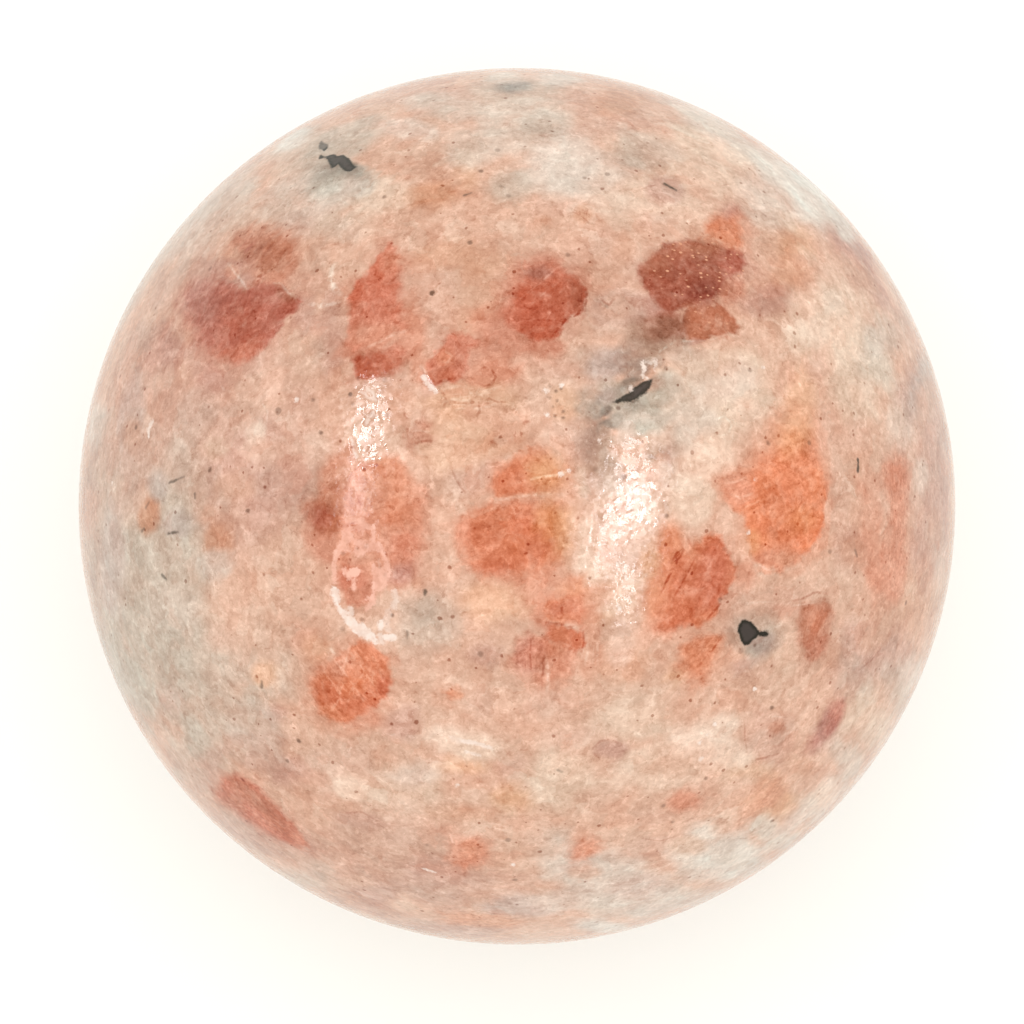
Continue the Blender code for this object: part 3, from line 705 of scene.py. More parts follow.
    (625, 248, 12, 14, 0, "warm tan", 0.8), (559, 371, 20, 12, 0, "clay cream", 0.7),
    (829, 419, 10, 14, 0, "pale blush", 0.7), (858, 436, 14, 16, 0, "pale blush", 0.7),
    (95, 424, 8, 22, 10, "pale grey", 0.7), (403, 666, 8, 14, 0, "pale blush", 0.6),
    (549, 205, 22, 11, 0, "pale blush", 0.8), (560, 903, 26, 9, 0, "ivory", 0.8),
    (224, 640, 18, 16, 0, "pale blush", 0.7), (414, 775, 22, 11, 0, "ivory", 0.8),
    (509, 796, 16, 9, 0, "peach", 0.7), (838, 302, 18, 14, 40, "cream", 0.8),
    (696, 140, 26, 9, 35, "cream", 0.8), (744, 788, 16, 10, 0, "pale blush", 0.6),
    (782, 803, 16, 9, -30, "peach", 0.8), (237, 482, 18, 12, 0, "clay cream", 0.8),
    (649, 818, 22, 9, 0, "pale blush", 0.6), (188, 771, 14, 10, 45, "mist", 0.7),
    (922, 475, 8, 18, 5, "ivory", 0.7), (881, 628, 12, 18, 0, "warm brown", 0.5),
    (895, 591, 9, 12, 0, "coral mist", 0.7), (513, 141, 22, 12, 0, "pearl", 0.7),
    (165, 290, 12, 26, 35, "dim pink", 0.6), (204, 232, 16, 12, -40, "mist", 0.6),
    (165, 610, 24, 24, 0, "pearl", 0.5), (545, 125, 16, 8, 0, "rose grey", 0.5),
    (600, 912, 22, 8, 10, "pearl", 0.6), (940, 452, 7, 26, 8, "dim pink", 0.6),
    (940, 560, 7, 30, 0, "ivory", 0.6), (901, 330, 9, 20, 28, "mist", 0.5),
    (220, 802, 12, 14, 40, "warm brown", 0.5), (130, 500, 14, 20, 0, "dim pink", 0.4),
    (648, 560, 10, 14, 0, "fawn", 0.5), (226, 281, 9, 8, 0, "brown pink", 0.8),
    (245, 281, 11, 9, 0, "brown pink", 0.8), (643, 368, 8, 9, 0, "taupe", 0.9),
    (608, 470, 10, 15, 0, "mist", 0.9), (607, 454, 8, 12, 0, "haze", 0.6),
    (585, 405, 10, 16, 0, "haze", 0.85), (575, 442, 11, 22, 0, "dim pink", 0.5),
    (606, 484, 9, 8, 0, "rose grey", 0.7), (655, 362, 9, 6, 0, "haze", 0.9),
    (621, 629, 10, 15, 0, "pale blush", 0.9), (632, 376, 9, 4, -15, "smudge", 0.45),
    (322, 191, 13, 7, 0, "grey", 0.8), (932, 394, 9, 18, 10, "mist", 0.8), (658, 382, 9, 6, 0, "haze", 0.9),
    (321, 172, 10, 7, 0, "stone haze", 0.7), (349, 456, 8, 15, 0, "coral mist", 0.8),
    (727, 722, 13, 12, 0, "snow", 0.8), (868, 642, 11, 12, 0, "dim pink", 0.8),
    (321, 759, 13, 12, 0, "pale blush", 0.8), (427, 389, 10, 7, 0, "pale blush", 0.8),
    (481, 703, 12, 12, 0, "pale blush", 0.8), (404, 578, 10, 8, 0, "warm brown", 0.7),
    (616, 420, 10, 8, 0, "stone haze", 0.7), (675, 675, 11, 9, 0, "peach", 0.8),
    (505, 754, 13, 8, 0, "sand", 0.8), (619, 463, 7, 10, 0, "rose grey", 0.7),
    (620, 654, 10, 13, 0, "pale blush", 0.9), (348, 901, 15, 7, 20, "dim pink", 0.9),
    (213, 448, 12, 12, 0, "fawn", 0.8), (289, 446, 11, 11, 0, "clay cream", 0.8),
    (836, 301, 13, 11, 0, "snow", 0.7), (597, 411, 8, 9, 0, "stone haze", 0.7),
    (650, 458, 7, 8, 0, "mist", 0.7), (668, 468, 10, 12, 0, "pearl", 0.6),
    (684, 440, 14, 14, 0, "pearl", 0.6), (625, 438, 10, 14, 0, "pearl", 0.6),
    # The warm cream clouds at 590, 560 and 645, 508 are pale ground and partly painted highlight under the
    # right gleam.
    (590, 560, 12, 12, 0, "warm cream", 0.6), (645, 508, 12, 12, 0, "warm cream", 0.6),
    (649, 560, 9, 15, 0, "peach", 0.85), (603, 440, 7, 11, 0, "haze", 0.85),
    (612, 442, 6, 9, 0, "grey", 0.6), (655, 446, 8, 8, 0, "rose grey", 0.6),
    # The warm cream cloud at 598, 575 is pale ground and partly painted highlight under the right gleam.
    (671, 454, 9, 11, 0, "dim pink", 0.9), (598, 575, 11, 10, 0, "warm cream", 0.7),
    (606, 472, 9, 15, 0, "taupe", 0.8), (615, 481, 9, 12, 0, "mist", 0.8), (609, 458, 7, 9, 0, "haze", 0.6),
    (232, 273, 7, 7, 0, "rosy", 0.8), (642, 366, 8, 8, 0, "mauve brown", 0.8),
    (929, 394, 10, 22, 10, "clay cream", 0.8), (869, 641, 12, 13, 0, "warm brown", 0.8),
    (323, 189, 13, 6, 0, "stone grey", 0.7), (594, 482, 9, 8, 0, "dim pink", 0.8),
    (402, 581, 10, 8, 0, "rosy", 0.9), (585, 510, 8, 11, 0, "sand", 0.7),
    (862, 276, 14, 8, 50, "warm brown", 0.7), (555, 430, 11, 9, 0, "pale blush", 0.8),
    (132, 437, 10, 15, 0, "warm brown", 0.7), (601, 280, 13, 9, 0, "warm brown", 0.8),
    (935, 534, 8, 20, 0, "clay cream", 0.8), (348, 901, 14, 7, 20, "warm brown", 0.8),
    (834, 652, 7, 10, 0, "warm brown", 0.7), (817, 368, 10, 14, 0, "pale blush", 0.8),
    (835, 443, 8, 12, 0, "pale blush", 0.7), (208, 514, 12, 11, 0, "warm brown", 0.7),
    (319, 348, 9, 12, 0, "rose grey", 0.8), (88, 506, 8, 24, 0, "clay cream", 0.8),
    (489, 327, 10, 10, 0, "rosy", 0.8), (508, 437, 12, 8, 0, "warm brown", 0.8),
    (308, 280, 20, 17, 0, "clay cream", 0.8), (826, 652, 8, 12, 0, "warm brown", 0.7),
    (480, 880, 16, 9, 0, "dim pink", 0.6), (735, 862, 16, 9, 25, "pearl", 0.6),
    (626, 388, 8, 4, -20, "smudge", 0.5), (734, 638, 7, 8, 0, "taupe", 0.8),
    (450, 911, 15, 7, 0, "clay cream", 0.8),
]

# Dark grains, dashes and dots.
# Black-green hornblende and mica that the polish cuts through, lying flush in the surface.
GRAIN_BLACK, CORE_GREY, DASH_GREY, SPOT_BROWN = (58, 56, 46), (86, 78, 74), (88, 76, 64), (116, 84, 66)
# Depth of colour and outline.
DARK_GRAINS = {
    "bead": (0.75, [
        (321, 141), (324, 143), (328, 144), (328, 148), (324, 151), (321, 149), (318, 148), (319, 144)]),
    "hook": (0.95, [
        (320, 155), (326, 156), (330, 155), (334, 154), (337, 156), (341, 155), (345, 156), (349, 159),
        (352, 163), (357, 167), (354, 169), (351, 171), (346, 171), (342, 169), (340, 166), (338, 164),
        (336, 166), (332, 168), (330, 165), (328, 160), (324, 158), (319, 159)]),
    "needle": (0.95, [
        (653, 379), (648, 380), (643, 382), (638, 385), (634, 388), (630, 392), (625, 395), (620, 398),
        (613, 402), (619, 403), (625, 402), (630, 402), (635, 400), (640, 397), (645, 393), (649, 389),
        (650, 385)]),
    "tailed": (1.0, [
        (745, 619), (741, 621), (739, 625), (738, 630), (739, 636), (741, 641), (744, 644), (748, 644),
        (751, 642), (755, 638), (758, 636), (763, 637), (767, 636), (769, 634), (768, 631), (763, 631),
        (758, 630), (755, 626), (751, 622)]),
}
# Start, end, width in mm, depth of colour.
DASHES = [
    (665, 184, 676, 190, 0.19, 0.9), (465, 195, 471, 193, 0.16, 0.7), (858, 460, 858, 471, 0.19, 0.9),
    (169, 483, 184, 477, 0.11, 0.7), (168, 534, 178, 532, 0.15, 0.8), (162, 575, 166, 579, 0.15, 0.7),
    (262, 682, 262, 687, 0.16, 0.6), (144, 529, 142, 531, 0.18, 0.6), (149, 502, 146, 508, 0.14, 0.5),
    (195, 494, 195, 498, 0.14, 0.6), (425, 590, 425, 594, 0.18, 0.8), (407, 631, 407, 639, 0.11, 0.5),
    (625, 382, 642, 379, 0.26, 0.4), (632, 402, 637, 400, 0.2, 0.6), (600, 417, 605, 410, 0.2, 0.25),
    (606, 414, 609, 409, 0.14, 0.35), (600, 424, 609, 420, 0.14, 0.25), (608, 422, 614, 429, 0.14, 0.25),
    (855, 550, 857, 556, 0.14, 0.5), (558, 770, 562, 772, 0.14, 0.5), (500, 186, 504, 187, 0.14, 0.4),
]
# Middle, radius in mm, depth of colour.
DOTS = [
    (481, 171, 0.15, 0.7), (432, 293, 0.15, 0.9), (470, 242, 0.14, 0.7), (384, 197, 0.11, 0.6),
    (136, 427, 0.15, 0.7), (210, 470, 0.15, 0.8), (248, 511, 0.14, 0.7), (350, 394, 0.12, 0.8),
    (321, 433, 0.11, 0.7), (299, 741, 0.14, 0.8), (287, 761, 0.11, 0.6), (392, 615, 0.12, 0.8),
    (278, 411, 0.2, 0.5), (313, 400, 0.14, 0.6), (755, 645, 0.11, 0.7), (741, 651, 0.17, 0.35),
    (585, 178, 0.12, 0.4), (607, 174, 0.14, 0.5), (568, 255, 0.14, 0.5), (210, 269, 0.14, 0.4),
    (768, 443, 0.12, 0.6), (809, 443, 0.11, 0.5), (750, 370, 0.11, 0.5), (666, 368, 0.11, 0.4),
    (481, 654, 0.16, 0.5), (772, 708, 0.15, 0.7), (706, 778, 0.12, 0.6), (772, 821, 0.14, 0.6),
    (508, 840, 0.15, 0.5), (515, 880, 0.15, 0.5), (906, 603, 0.12, 0.6), (830, 552, 0.14, 0.5),
    (624, 477, 0.15, 0.5), (667, 516, 0.11, 0.6), (651, 457, 0.15, 0.4), (595, 469, 0.14, 0.3),
    (618, 408, 0.11, 0.7), (385, 380, 0.11, 0.25), (663, 806, 0.14, 0.5), (672, 822, 0.11, 0.5),
    (720, 600, 0.12, 0.4), (606, 306, 0.11, 0.4), (498, 150, 0.15, 0.4), (509, 196, 0.14, 0.4),
    (427, 845, 0.12, 0.4), (556, 391, 0.08, 0.7), (550, 398, 0.07, 0.7), (563, 412, 0.08, 0.7),
    (563, 418, 0.07, 0.7), (555, 416, 0.08, 0.7), (557, 401, 0.07, 0.6), (550, 386, 0.07, 0.6),
    (561, 389, 0.07, 0.7), (553, 407, 0.07, 0.5), (560, 405, 0.06, 0.5), (547, 397, 0.06, 0.5),
    (358, 378, 0.11, 0.5), (352, 403, 0.11, 0.35), (387, 415, 0.12, 0.3), (357, 549, 0.1, 0.4),
    (366, 546, 0.13, 0.4), (362, 620, 0.11, 0.4), (343, 629, 0.12, 0.35), (385, 575, 0.12, 0.4),
    (343, 554, 0.13, 0.35),
]

# Cracks, seams, bruises and the left gleam's painted highlight.
# Old cleavage cracks that show pale, iron-stained seams that show brown, and small white bruises where the
# polish broke away: a worn ring of them lies under the left gleam. Over that ring, pink and white patches and
# bright lines are painted highlight, the broken pieces of the gleam, held with the bruises.
# Points, width in mm, strength.
CRACKS = [
    ([(492, 501), (513, 497), (535, 494), (555, 493)], 0.2, 0.7),
    ([(513, 484), (535, 478), (557, 475), (571, 471)], 0.16, 0.9),
    ([(468, 518), (492, 509), (510, 503)], 0.2, 0.45), ([(518, 301), (540, 283), (557, 268)], 0.11, 0.4),
    ([(528, 307), (548, 290), (567, 277)], 0.11, 0.35),
    ([(357, 351), (375, 344), (394, 334), (412, 329)], 0.22, 0.6),
    ([(227, 262), (240, 279), (249, 291)], 0.18, 0.55),
    ([(268, 283), (281, 283), (288, 293), (307, 302)], 0.16, 0.6),
    ([(333, 262), (331, 276), (334, 288), (342, 297)], 0.40, 0.9),
    ([(420, 364), (427, 377), (432, 386), (437, 390)], 0.23, 1.0),
    ([(547, 658), (548, 676), (547, 693)], 0.2, 0.6), ([(586, 632), (588, 650), (584, 668)], 0.16, 0.4),
    ([(597, 640), (598, 668)], 0.15, 0.35), ([(329, 646), (333, 652), (337, 657)], 0.2, 0.6),
    ([(222, 803), (240, 806), (258, 815), (275, 829)], 0.14, 0.4),
    ([(255, 785), (279, 811), (300, 835)], 0.14, 0.35), ([(726, 492), (740, 498), (756, 492)], 0.16, 0.55),
    ([(642, 372), (645, 366), (653, 363), (660, 351), (676, 341), (706, 341), (737, 331)], 0.14, 0.5),
    ([(740, 510), (752, 504), (764, 499)], 0.16, 0.6), ([(722, 483), (736, 482), (748, 476)], 0.15, 0.45),
    ([(752, 560), (768, 570), (782, 568)], 0.16, 0.4), ([(741, 604), (752, 603), (774, 601)], 0.15, 0.3),
    ([(789, 606), (806, 604), (820, 602)], 0.12, 0.4), ([(356, 652), (366, 664), (378, 678)], 0.12, 0.4),
    ([(345, 676), (340, 690), (337, 702), (330, 712)], 0.2, 0.7),
    ([(368, 652), (378, 668), (386, 690)], 0.12, 0.35), ([(341, 664), (356, 660), (372, 668)], 0.12, 0.4),
    ([(330, 655), (344, 672), (357, 690), (366, 706)], 0.12, 0.5),
    ([(346, 646), (359, 663), (372, 682), (381, 698)], 0.12, 0.5),
    ([(362, 644), (374, 658), (386, 676)], 0.12, 0.45), ([(322, 668), (334, 685), (344, 704)], 0.12, 0.45),
    ([(352, 642), (346, 660), (342, 678)], 0.12, 0.45),
    ([(379, 660), (364, 673), (351, 690), (345, 712)], 0.12, 0.4),
    ([(326, 690), (340, 684), (356, 676)], 0.11, 0.35),
    ([(444, 350), (452, 356), (447, 363), (439, 360)], 0.16, 0.5), ([(204, 545), (207, 553)], 0.16, 0.4),
    ([(260, 400), (268, 412), (266, 425)], 0.14, 0.4), ([(218, 380), (224, 390), (232, 392)], 0.14, 0.35),
    ([(309, 585), (312, 598)], 0.2, 0.4), ([(556, 640), (570, 646), (580, 652)], 0.12, 0.35),
    ([(890, 505), (889, 520), (880, 535)], 0.16, 0.35), ([(768, 720), (774, 716), (786, 718)], 0.12, 0.3),
    ([(628, 440), (632, 446), (640, 446), (646, 452)], 0.12, 0.35),
    ([(714, 420), (724, 416), (732, 424), (728, 434), (718, 436)], 0.14, 0.4),
    ([(305, 302), (318, 306), (332, 304), (346, 298), (350, 288)], 0.3, 0.6),
    ([(438, 392), (452, 387), (466, 386)], 0.24, 0.5), ([(476, 389), (488, 391), (502, 386)], 0.24, 0.45),
    ([(440, 403), (454, 399), (472, 401)], 0.2, 0.55),
    ([(452, 412), (466, 407), (482, 409), (498, 403)], 0.2, 0.5),
    ([(462, 392), (476, 394), (492, 397)], 0.18, 0.5), ([(410, 432), (420, 430), (431, 433)], 0.16, 0.4),
]
SEAMS = [
    ([(685, 548), (672, 570), (659, 596)], 0.16, 0.7), ([(699, 551), (688, 572), (672, 600)], 0.12, 0.4),
    ([(722, 602), (714, 611), (706, 620)], 0.15, 0.7), ([(723, 637), (712, 650), (698, 667)], 0.16, 0.7),
    ([(544, 652), (543, 672), (541, 691)], 0.15, 0.35), ([(531, 636), (530, 655), (532, 676)], 0.12, 0.4),
    ([(586, 284), (587, 296), (585, 308), (577, 315), (567, 318), (560, 328), (549, 339)], 0.14, 0.6),
    ([(600, 298), (604, 302), (609, 305), (615, 298)], 0.15, 0.5),
    ([(505, 321), (530, 320), (562, 321)], 0.12, 0.2), ([(544, 622), (560, 624), (583, 630)], 0.14, 0.5),
    ([(583, 631), (584, 642), (579, 660)], 0.12, 0.4), ([(561, 602), (562, 614)], 0.16, 0.5),
    ([(683, 545), (677, 553), (672, 561)], 0.16, 0.7),
    ([(479, 370), (485, 367), (492, 370), (496, 377), (492, 384), (484, 386), (478, 383)], 0.14, 0.5),
    ([(451, 466), (455, 477), (461, 488), (470, 497)], 0.14, 0.4),
    ([(522, 425), (526, 421), (531, 422)], 0.16, 0.5), ([(522, 430), (521, 434), (523, 438)], 0.15, 0.5),
    ([(435, 385), (441, 381), (455, 378)], 0.15, 0.6),
    ([(789, 602), (804, 598), (815, 592), (828, 594)], 0.16, 0.5),
    ([(750, 760), (764, 758), (780, 753)], 0.18, 0.5), ([(744, 716), (745, 740), (748, 757)], 0.12, 0.3),
    ([(340, 813), (362, 812), (379, 822)], 0.16, 0.35),
    ([(500, 763), (512, 749), (527, 750), (536, 761)], 0.14, 0.3),
    ([(592, 750), (600, 741), (612, 739), (630, 749)], 0.15, 0.45),
    ([(592, 751), (598, 758), (610, 763), (622, 759)], 0.14, 0.35),
    ([(436, 403), (448, 400), (462, 404), (476, 398)], 0.12, 0.45),
    ([(456, 404), (468, 404), (478, 402), (480, 410), (476, 418)], 0.14, 0.5),
    ([(440, 390), (446, 398), (444, 408)], 0.16, 0.5), ([(484, 396), (497, 402), (508, 402)], 0.12, 0.4),
    ([(421, 366), (424, 374), (430, 382), (436, 388)], 0.12, 0.6),
    ([(414, 444), (424, 441), (434, 440)], 0.16, 0.5), ([(405, 404), (404, 414), (408, 420)], 0.12, 0.3),
    ([(490, 439), (493, 443), (497, 447)], 0.3, 0.6), ([(345, 524), (358, 522), (364, 526)], 0.12, 0.45),
    ([(356, 490), (358, 500), (362, 506)], 0.14, 0.5), ([(732, 839), (752, 838), (760, 836)], 0.12, 0.3),
    ([(757, 866), (770, 858), (783, 856)], 0.12, 0.3), ([(452, 912), (480, 911), (505, 915)], 0.14, 0.4),
    ([(505, 926), (520, 923)], 0.14, 0.35), ([(566, 868), (590, 872)], 0.11, 0.3),
    ([(640, 838), (660, 841), (680, 835)], 0.11, 0.3), ([(852, 674), (870, 662), (884, 644)], 0.15, 0.3),
    ([(640, 236), (648, 239), (660, 237)], 0.12, 0.35), ([(566, 214), (574, 212), (580, 216)], 0.12, 0.35),
    ([(579, 210), (584, 218), (590, 224)], 0.14, 0.5), ([(588, 208), (586, 216), (584, 223)], 0.12, 0.4),
    ([(574, 207), (582, 209), (590, 215)], 0.12, 0.35), ([(720, 186), (734, 183)], 0.12, 0.35),
    ([(636, 191), (648, 187), (660, 184)], 0.12, 0.3),
]
# Colour, strength and outline of the larger patches over the worn ring, which are painted highlight where the
# left gleam breaks up, then the gaps in them where none is painted. The pink is painted highlight; the white
# serves the painted highlight and the white bruises alike.
PAINTED_GLEAM_PINK, BRUISE_AND_GLEAM_WHITE = (255, 200, 178), (255, 236, 222)
WORN_AND_GLEAM_PATCHES = {
    "shoulder": (PAINTED_GLEAM_PINK, 0.6, [
        (344, 519), (342, 530), (340, 540), (337, 548), (333, 556), (331, 566), (332, 575), (332, 583),
        (336, 583), (337, 574), (336, 566), (337, 559), (341, 552), (346, 551), (350, 552), (354, 553),
        (356, 558), (360, 556), (364, 552), (370, 551), (376, 550), (381, 554), (384, 562), (383, 569),
        (378, 568), (373, 566), (371, 572), (373, 590), (372, 596), (377, 592), (383, 590), (388, 584),
        (389, 572), (388, 564), (384, 555), (380, 547), (376, 541), (377, 533), (373, 526), (366, 522),
        (364, 517)]),
    "island": (PAINTED_GLEAM_PINK, 1.0, [
        (343, 569), (348, 571), (352, 568), (356, 567), (360, 570), (359, 575), (356, 577), (356, 583),
        (355, 588), (353, 587), (353, 579), (351, 577), (348, 580), (345, 578), (343, 574)]),
    "crook": (PAINTED_GLEAM_PINK, 0.8, [
        (367, 597), (372, 596), (375, 599), (374, 604), (370, 607), (366, 610), (364, 608), (369, 604),
        (370, 600), (366, 600), (362, 602), (364, 598)]),
    "sickle": (BRUISE_AND_GLEAM_WHITE, 0.85, [
        (330, 588), (334, 587), (338, 591), (339, 597), (339, 604), (342, 608), (346, 611), (349, 616),
        (354, 618), (357, 623), (363, 624), (369, 629), (374, 634), (378, 641), (376, 645), (370, 641),
        (362, 637), (354, 632), (349, 627), (344, 621), (341, 614), (337, 608), (334, 601), (331, 595)]),
}
GLEAM_GAPS = [
    [
        (351, 533), (354, 530), (358, 531), (361, 530), (362, 535), (366, 529), (370, 530), (371, 536),
        (369, 541), (364, 540), (358, 541), (353, 538)],
    [(348, 542), (353, 541), (354, 547), (352, 552), (348, 549), (346, 545)],
    [(364, 544), (367, 545), (368, 548), (365, 548)], [(357, 547), (359, 548), (358, 550), (356, 549)],
    [(347, 525), (352, 527), (358, 524), (352, 524)], [(344, 613), (348, 615), (346, 617)],
]
# Points, width in mm, strength: the bright lines of painted highlight over the worn ring, then the lines of
# bruises, some of which are painted highlight too.
GLEAM_RIM_LINES = [
    ([(340, 545), (335, 556), (333, 566), (335, 578)], 0.26, 0.9),
    ([(373, 526), (375, 533), (374, 541)], 0.2, 0.9),
    ([(378, 544), (384, 554), (388, 565), (389, 576)], 0.26, 0.8),
    ([(373, 566), (374, 580), (373, 596)], 0.24, 0.9),
    ([(367, 598), (373, 599), (372, 604), (366, 609)], 0.2, 0.9), ([(344, 571), (350, 577)], 0.3, 0.9),
    ([(356, 542), (363, 543), (369, 547), (365, 552), (357, 556)], 0.2, 0.9),
    ([(349, 531), (351, 538)], 0.3, 0.8), ([(348, 527), (356, 528), (365, 526), (372, 529)], 0.18, 0.8),
    ([(353, 577), (354, 588)], 0.2, 0.9),
]
# Those of these lines that lie in the left gleam, between x 350 and 396, are painted highlight; the others
# are white bruises.
BRUISE_AND_GLEAM_LINES = [
    ([(424, 377), (428, 384), (435, 391)], 0.3, 0.75), ([(352, 440), (353, 450), (357, 456)], 0.18, 0.8),
    ([(366, 388), (372, 392), (375, 400)], 0.18, 0.6), ([(363, 412), (369, 418), (374, 415)], 0.14, 0.4),
    ([(350, 609), (351, 614)], 0.28, 0.7), ([(386, 637), (390, 638), (393, 637)], 0.4, 0.95),
    ([(381, 623), (381, 629)], 0.34, 0.85), ([(380, 636), (382, 642)], 0.34, 0.5),
    ([(394, 592), (396, 600), (393, 607)], 0.4, 0.4), ([(389, 612), (386, 620), (388, 630)], 0.4, 0.35),
    ([(378, 560), (379, 566)], 0.1, 0.2), ([(459, 741), (474, 743), (490, 748)], 0.3, 0.9),
    ([(467, 752), (481, 756)], 0.14, 0.8), ([(452, 738), (460, 741)], 0.4, 0.4),
    ([(148, 436), (148, 429), (152, 422)], 0.28, 0.85), ([(362, 392), (372, 400)], 0.2, 0.5),
    ([(373, 412), (366, 424)], 0.2, 0.5), ([(424, 869), (436, 873)], 0.14, 0.8),
    ([(643, 362), (645, 369), (642, 375), (647, 379)], 0.2, 0.8),
    ([(643, 362), (650, 362), (656, 360), (655, 370)], 0.16, 0.6), ([(631, 388), (631, 390)], 0.2, 0.7),
]
FLECK_STRENGTH = 0.9
# Middle, radius in mm. Those among the glitter, near 546 to 569 across and 385 to 474 down, are painted
# glints;
# the others are white specks.
FLECKS = [
    (112, 483, 0.10), (297, 400, 0.14), (562, 385, 0.11), (546, 391, 0.10), (547, 415, 0.11),
    (561, 474, 0.12), (513, 865, 0.12), (749, 532, 0.10), (755, 480, 0.10), (715, 724, 0.09),
    (707, 735, 0.10), (700, 743, 0.12), (701, 759, 0.11), (755, 689, 0.09), (763, 368, 0.09),
    (457, 786, 0.13), (569, 471, 0.09), (600, 441, 0.08), (617, 564, 0.10), (620, 609, 0.11),
    (626, 577, 0.09),
]
# Where flakes of ore catch the light: x, y, half width, half height, degrees, strength.
GLITTER = [
    (700, 270, 50, 36, 0, 1.0), (708, 322, 26, 14, 0, 0.8), (556, 401, 12, 20, 0, 1.0),
    (735, 480, 14, 12, 0, 0.4), (561, 474, 10, 8, 0, 0.6),
]

# The side that the photograph doesn't show.
# The same rock runs through the whole ball, so its marks there are of the same kinds, sizes and number.
UNSEEN_SEED = 11
# How many marks of each kind, and the least distance between two of them in mm.
UNSEEN_CRYSTALS, UNSEEN_CLOUDS, UNSEEN_LINES = (40, 7.5), (150, 1.5), (60, 2.0)
UNSEEN_SPOTS, UNSEEN_DARK_GRAINS = (46, 2.0), (4, 14.0)
# Their sizes in mm, least and most: radii, half axes, lengths and half widths.
CRYSTAL_RADIUS, GLOW_SIZE, CLOUD_LENGTH, CLOUD_WIDTH = (1.2, 3.9), (0.5, 1.8), (1.0, 4.5), (1.0, 3.0)
LINE_LENGTH, LINE_WIDTH, DASH_LENGTH, DASH_WIDTH = (1.0, 3.6), (0.05, 0.11), (0.3, 1.0), (0.05, 0.1)
FLECK_RADIUS, DOT_RADIUS, DARK_RADIUS, DARK_HALO = (0.08, 0.13), (0.1, 0.17), (0.5, 0.9), (2.0, 1.5)
# Their blur in mm and their strengths, least and most.
CRYSTAL_BLUR, GRAIN_STRENGTH, COLOUR_STRENGTH = (0.16, 0.6), (0.15, 0.8), (0.4, 0.8)
LINE_STRENGTH, DASH_STRENGTH, DOT_STRENGTH = (0.3, 0.7), (0.5, 0.9), (0.4, 0.9)
# Their outlines: corners, how much longer than wide, how far a corner strays, and how a line bends.
CRYSTAL_CORNERS, CRYSTAL_STRETCH, CRYSTAL_FADES, CORNER_SWAY = (8, 12), (0.85, 1.3), [0.0, 0.5, 1.0], 0.25
DARK_CORNERS, DARK_STRETCH, DARK_ROUGHNESS, HALO_STRENGTH = 9, 1.5, 0.4, 0.7
LINE_STEPS, BEND = 4, 0.5
# How a glow differs from its crystal's colour, 0 to 255: in all three numbers alike, and in each.
GLOWS_EACH, GLOW_LIGHTER, GLOW_SHIFT, GLOW_LIMITS = 3, 22, 8, (40, 245)
# The cosine, from the camera, past which a place counts as unseen, and how often one is looked for.
SEEN_FROM, TRIES_EACH = 0.10, 40
chance = random.Random(UNSEEN_SEED)


def unseen_middles(count, apart):
    """Directions away from the camera, none nearer another than apart mm where there is room."""
    found = []
    for attempt in range(count * TRIES_EACH):
        middle = np.array([chance.gauss(0, 1) for axis in range(3)])
        middle /= np.linalg.norm(middle)
        crowded = any(middle @ other > math.cos(apart / RADIUS) for other in found)
        if middle @ view_direction < SEEN_FROM and not crowded:
            found.append(middle)
        if len(found) == count:
            break
    return found


def blob(radius, corners, length=1.0, roughness=0.2):
    """A rough closed outline in mm, longer one way than the other."""
    turn = chance.uniform(0, math.pi)
    points = []
    for corner in range(corners):
        angle = math.tau * (corner + chance.uniform(-CORNER_SWAY, CORNER_SWAY)) / corners
        size = radius * chance.uniform(1 - roughness, 1 + roughness)
        across, along = size * math.cos(angle) / length, size * math.sin(angle) * length
        right = across * math.cos(turn) - along * math.sin(turn)
        points.append((right, across * math.sin(turn) + along * math.cos(turn)))
    return points


def wander(length, steps):
    """A bent line in mm, from the middle of its patch."""
    heading = chance.uniform(0, math.tau)
    points = [np.zeros(2)]
    for number in range(steps):
        heading += chance.uniform(-BEND, BEND)
        points.append(points[-1] + length / steps * np.array([math.cos(heading), math.sin(heading)]))
    return points


def ovals(table, colours):
    """Ovals of the photograph: middle, half axes in mm, colour, strength."""
    return [(*picture_oval(*oval), colours[colour], strength) for *oval, colour, strength in table]


def outlined(pixels):
    """A closed outline of the photograph as a patch."""
    return Patch(lift(pixels), closed=True)


def drawn(table):
    """Lines of the photograph as patches, each with half its width and its strength."""
    return [(Patch(lift(points)), width / 2, strength) for points, width, strength in table]


def dotted(table):
    """Round spots of the photograph as patches, each with its radius and its strength."""
    return [(Patch(lift([(x, y)])), radius, strength) for x, y, radius, strength in table]


# Each kind of mark, as patches: first those that the photograph shows, then those of the unseen side.
crystals = []
for colour, blur, fade, grain, outline in CRYSTALS.values():
    fade_way = (picture_way(outline, fade[0]), fade[1]) if fade else (0.0, 0.0)
    grain_way = (picture_way(outline, grain[0]), grain[1])
    crystals.append((outlined(outline), CRYSTAL_COLOURS[colour], blur, fade_way, grain_way))
glows, clouds = ovals(GLOWS, CRYSTAL_COLOURS), ovals(CLOUDS, GROUND_COLOURS)
dark_grains = [(outlined(outline), depth) for depth, outline in DARK_GRAINS.values()]
dark_lines = drawn([([(x0, y0), (x1, y1)], width, depth) for x0, y0, x1, y1, width, depth in DASHES])
dark_lines += dotted(DOTS)
cracks, seams, gleam_rim_lines, bruises_and_gleams = [drawn(table) for table in (CRACKS, SEAMS, GLEAM_RIM_LINES, BRUISE_AND_GLEAM_LINES)]
bruises_and_gleams += dotted([(*fleck, FLECK_STRENGTH) for fleck in FLECKS])
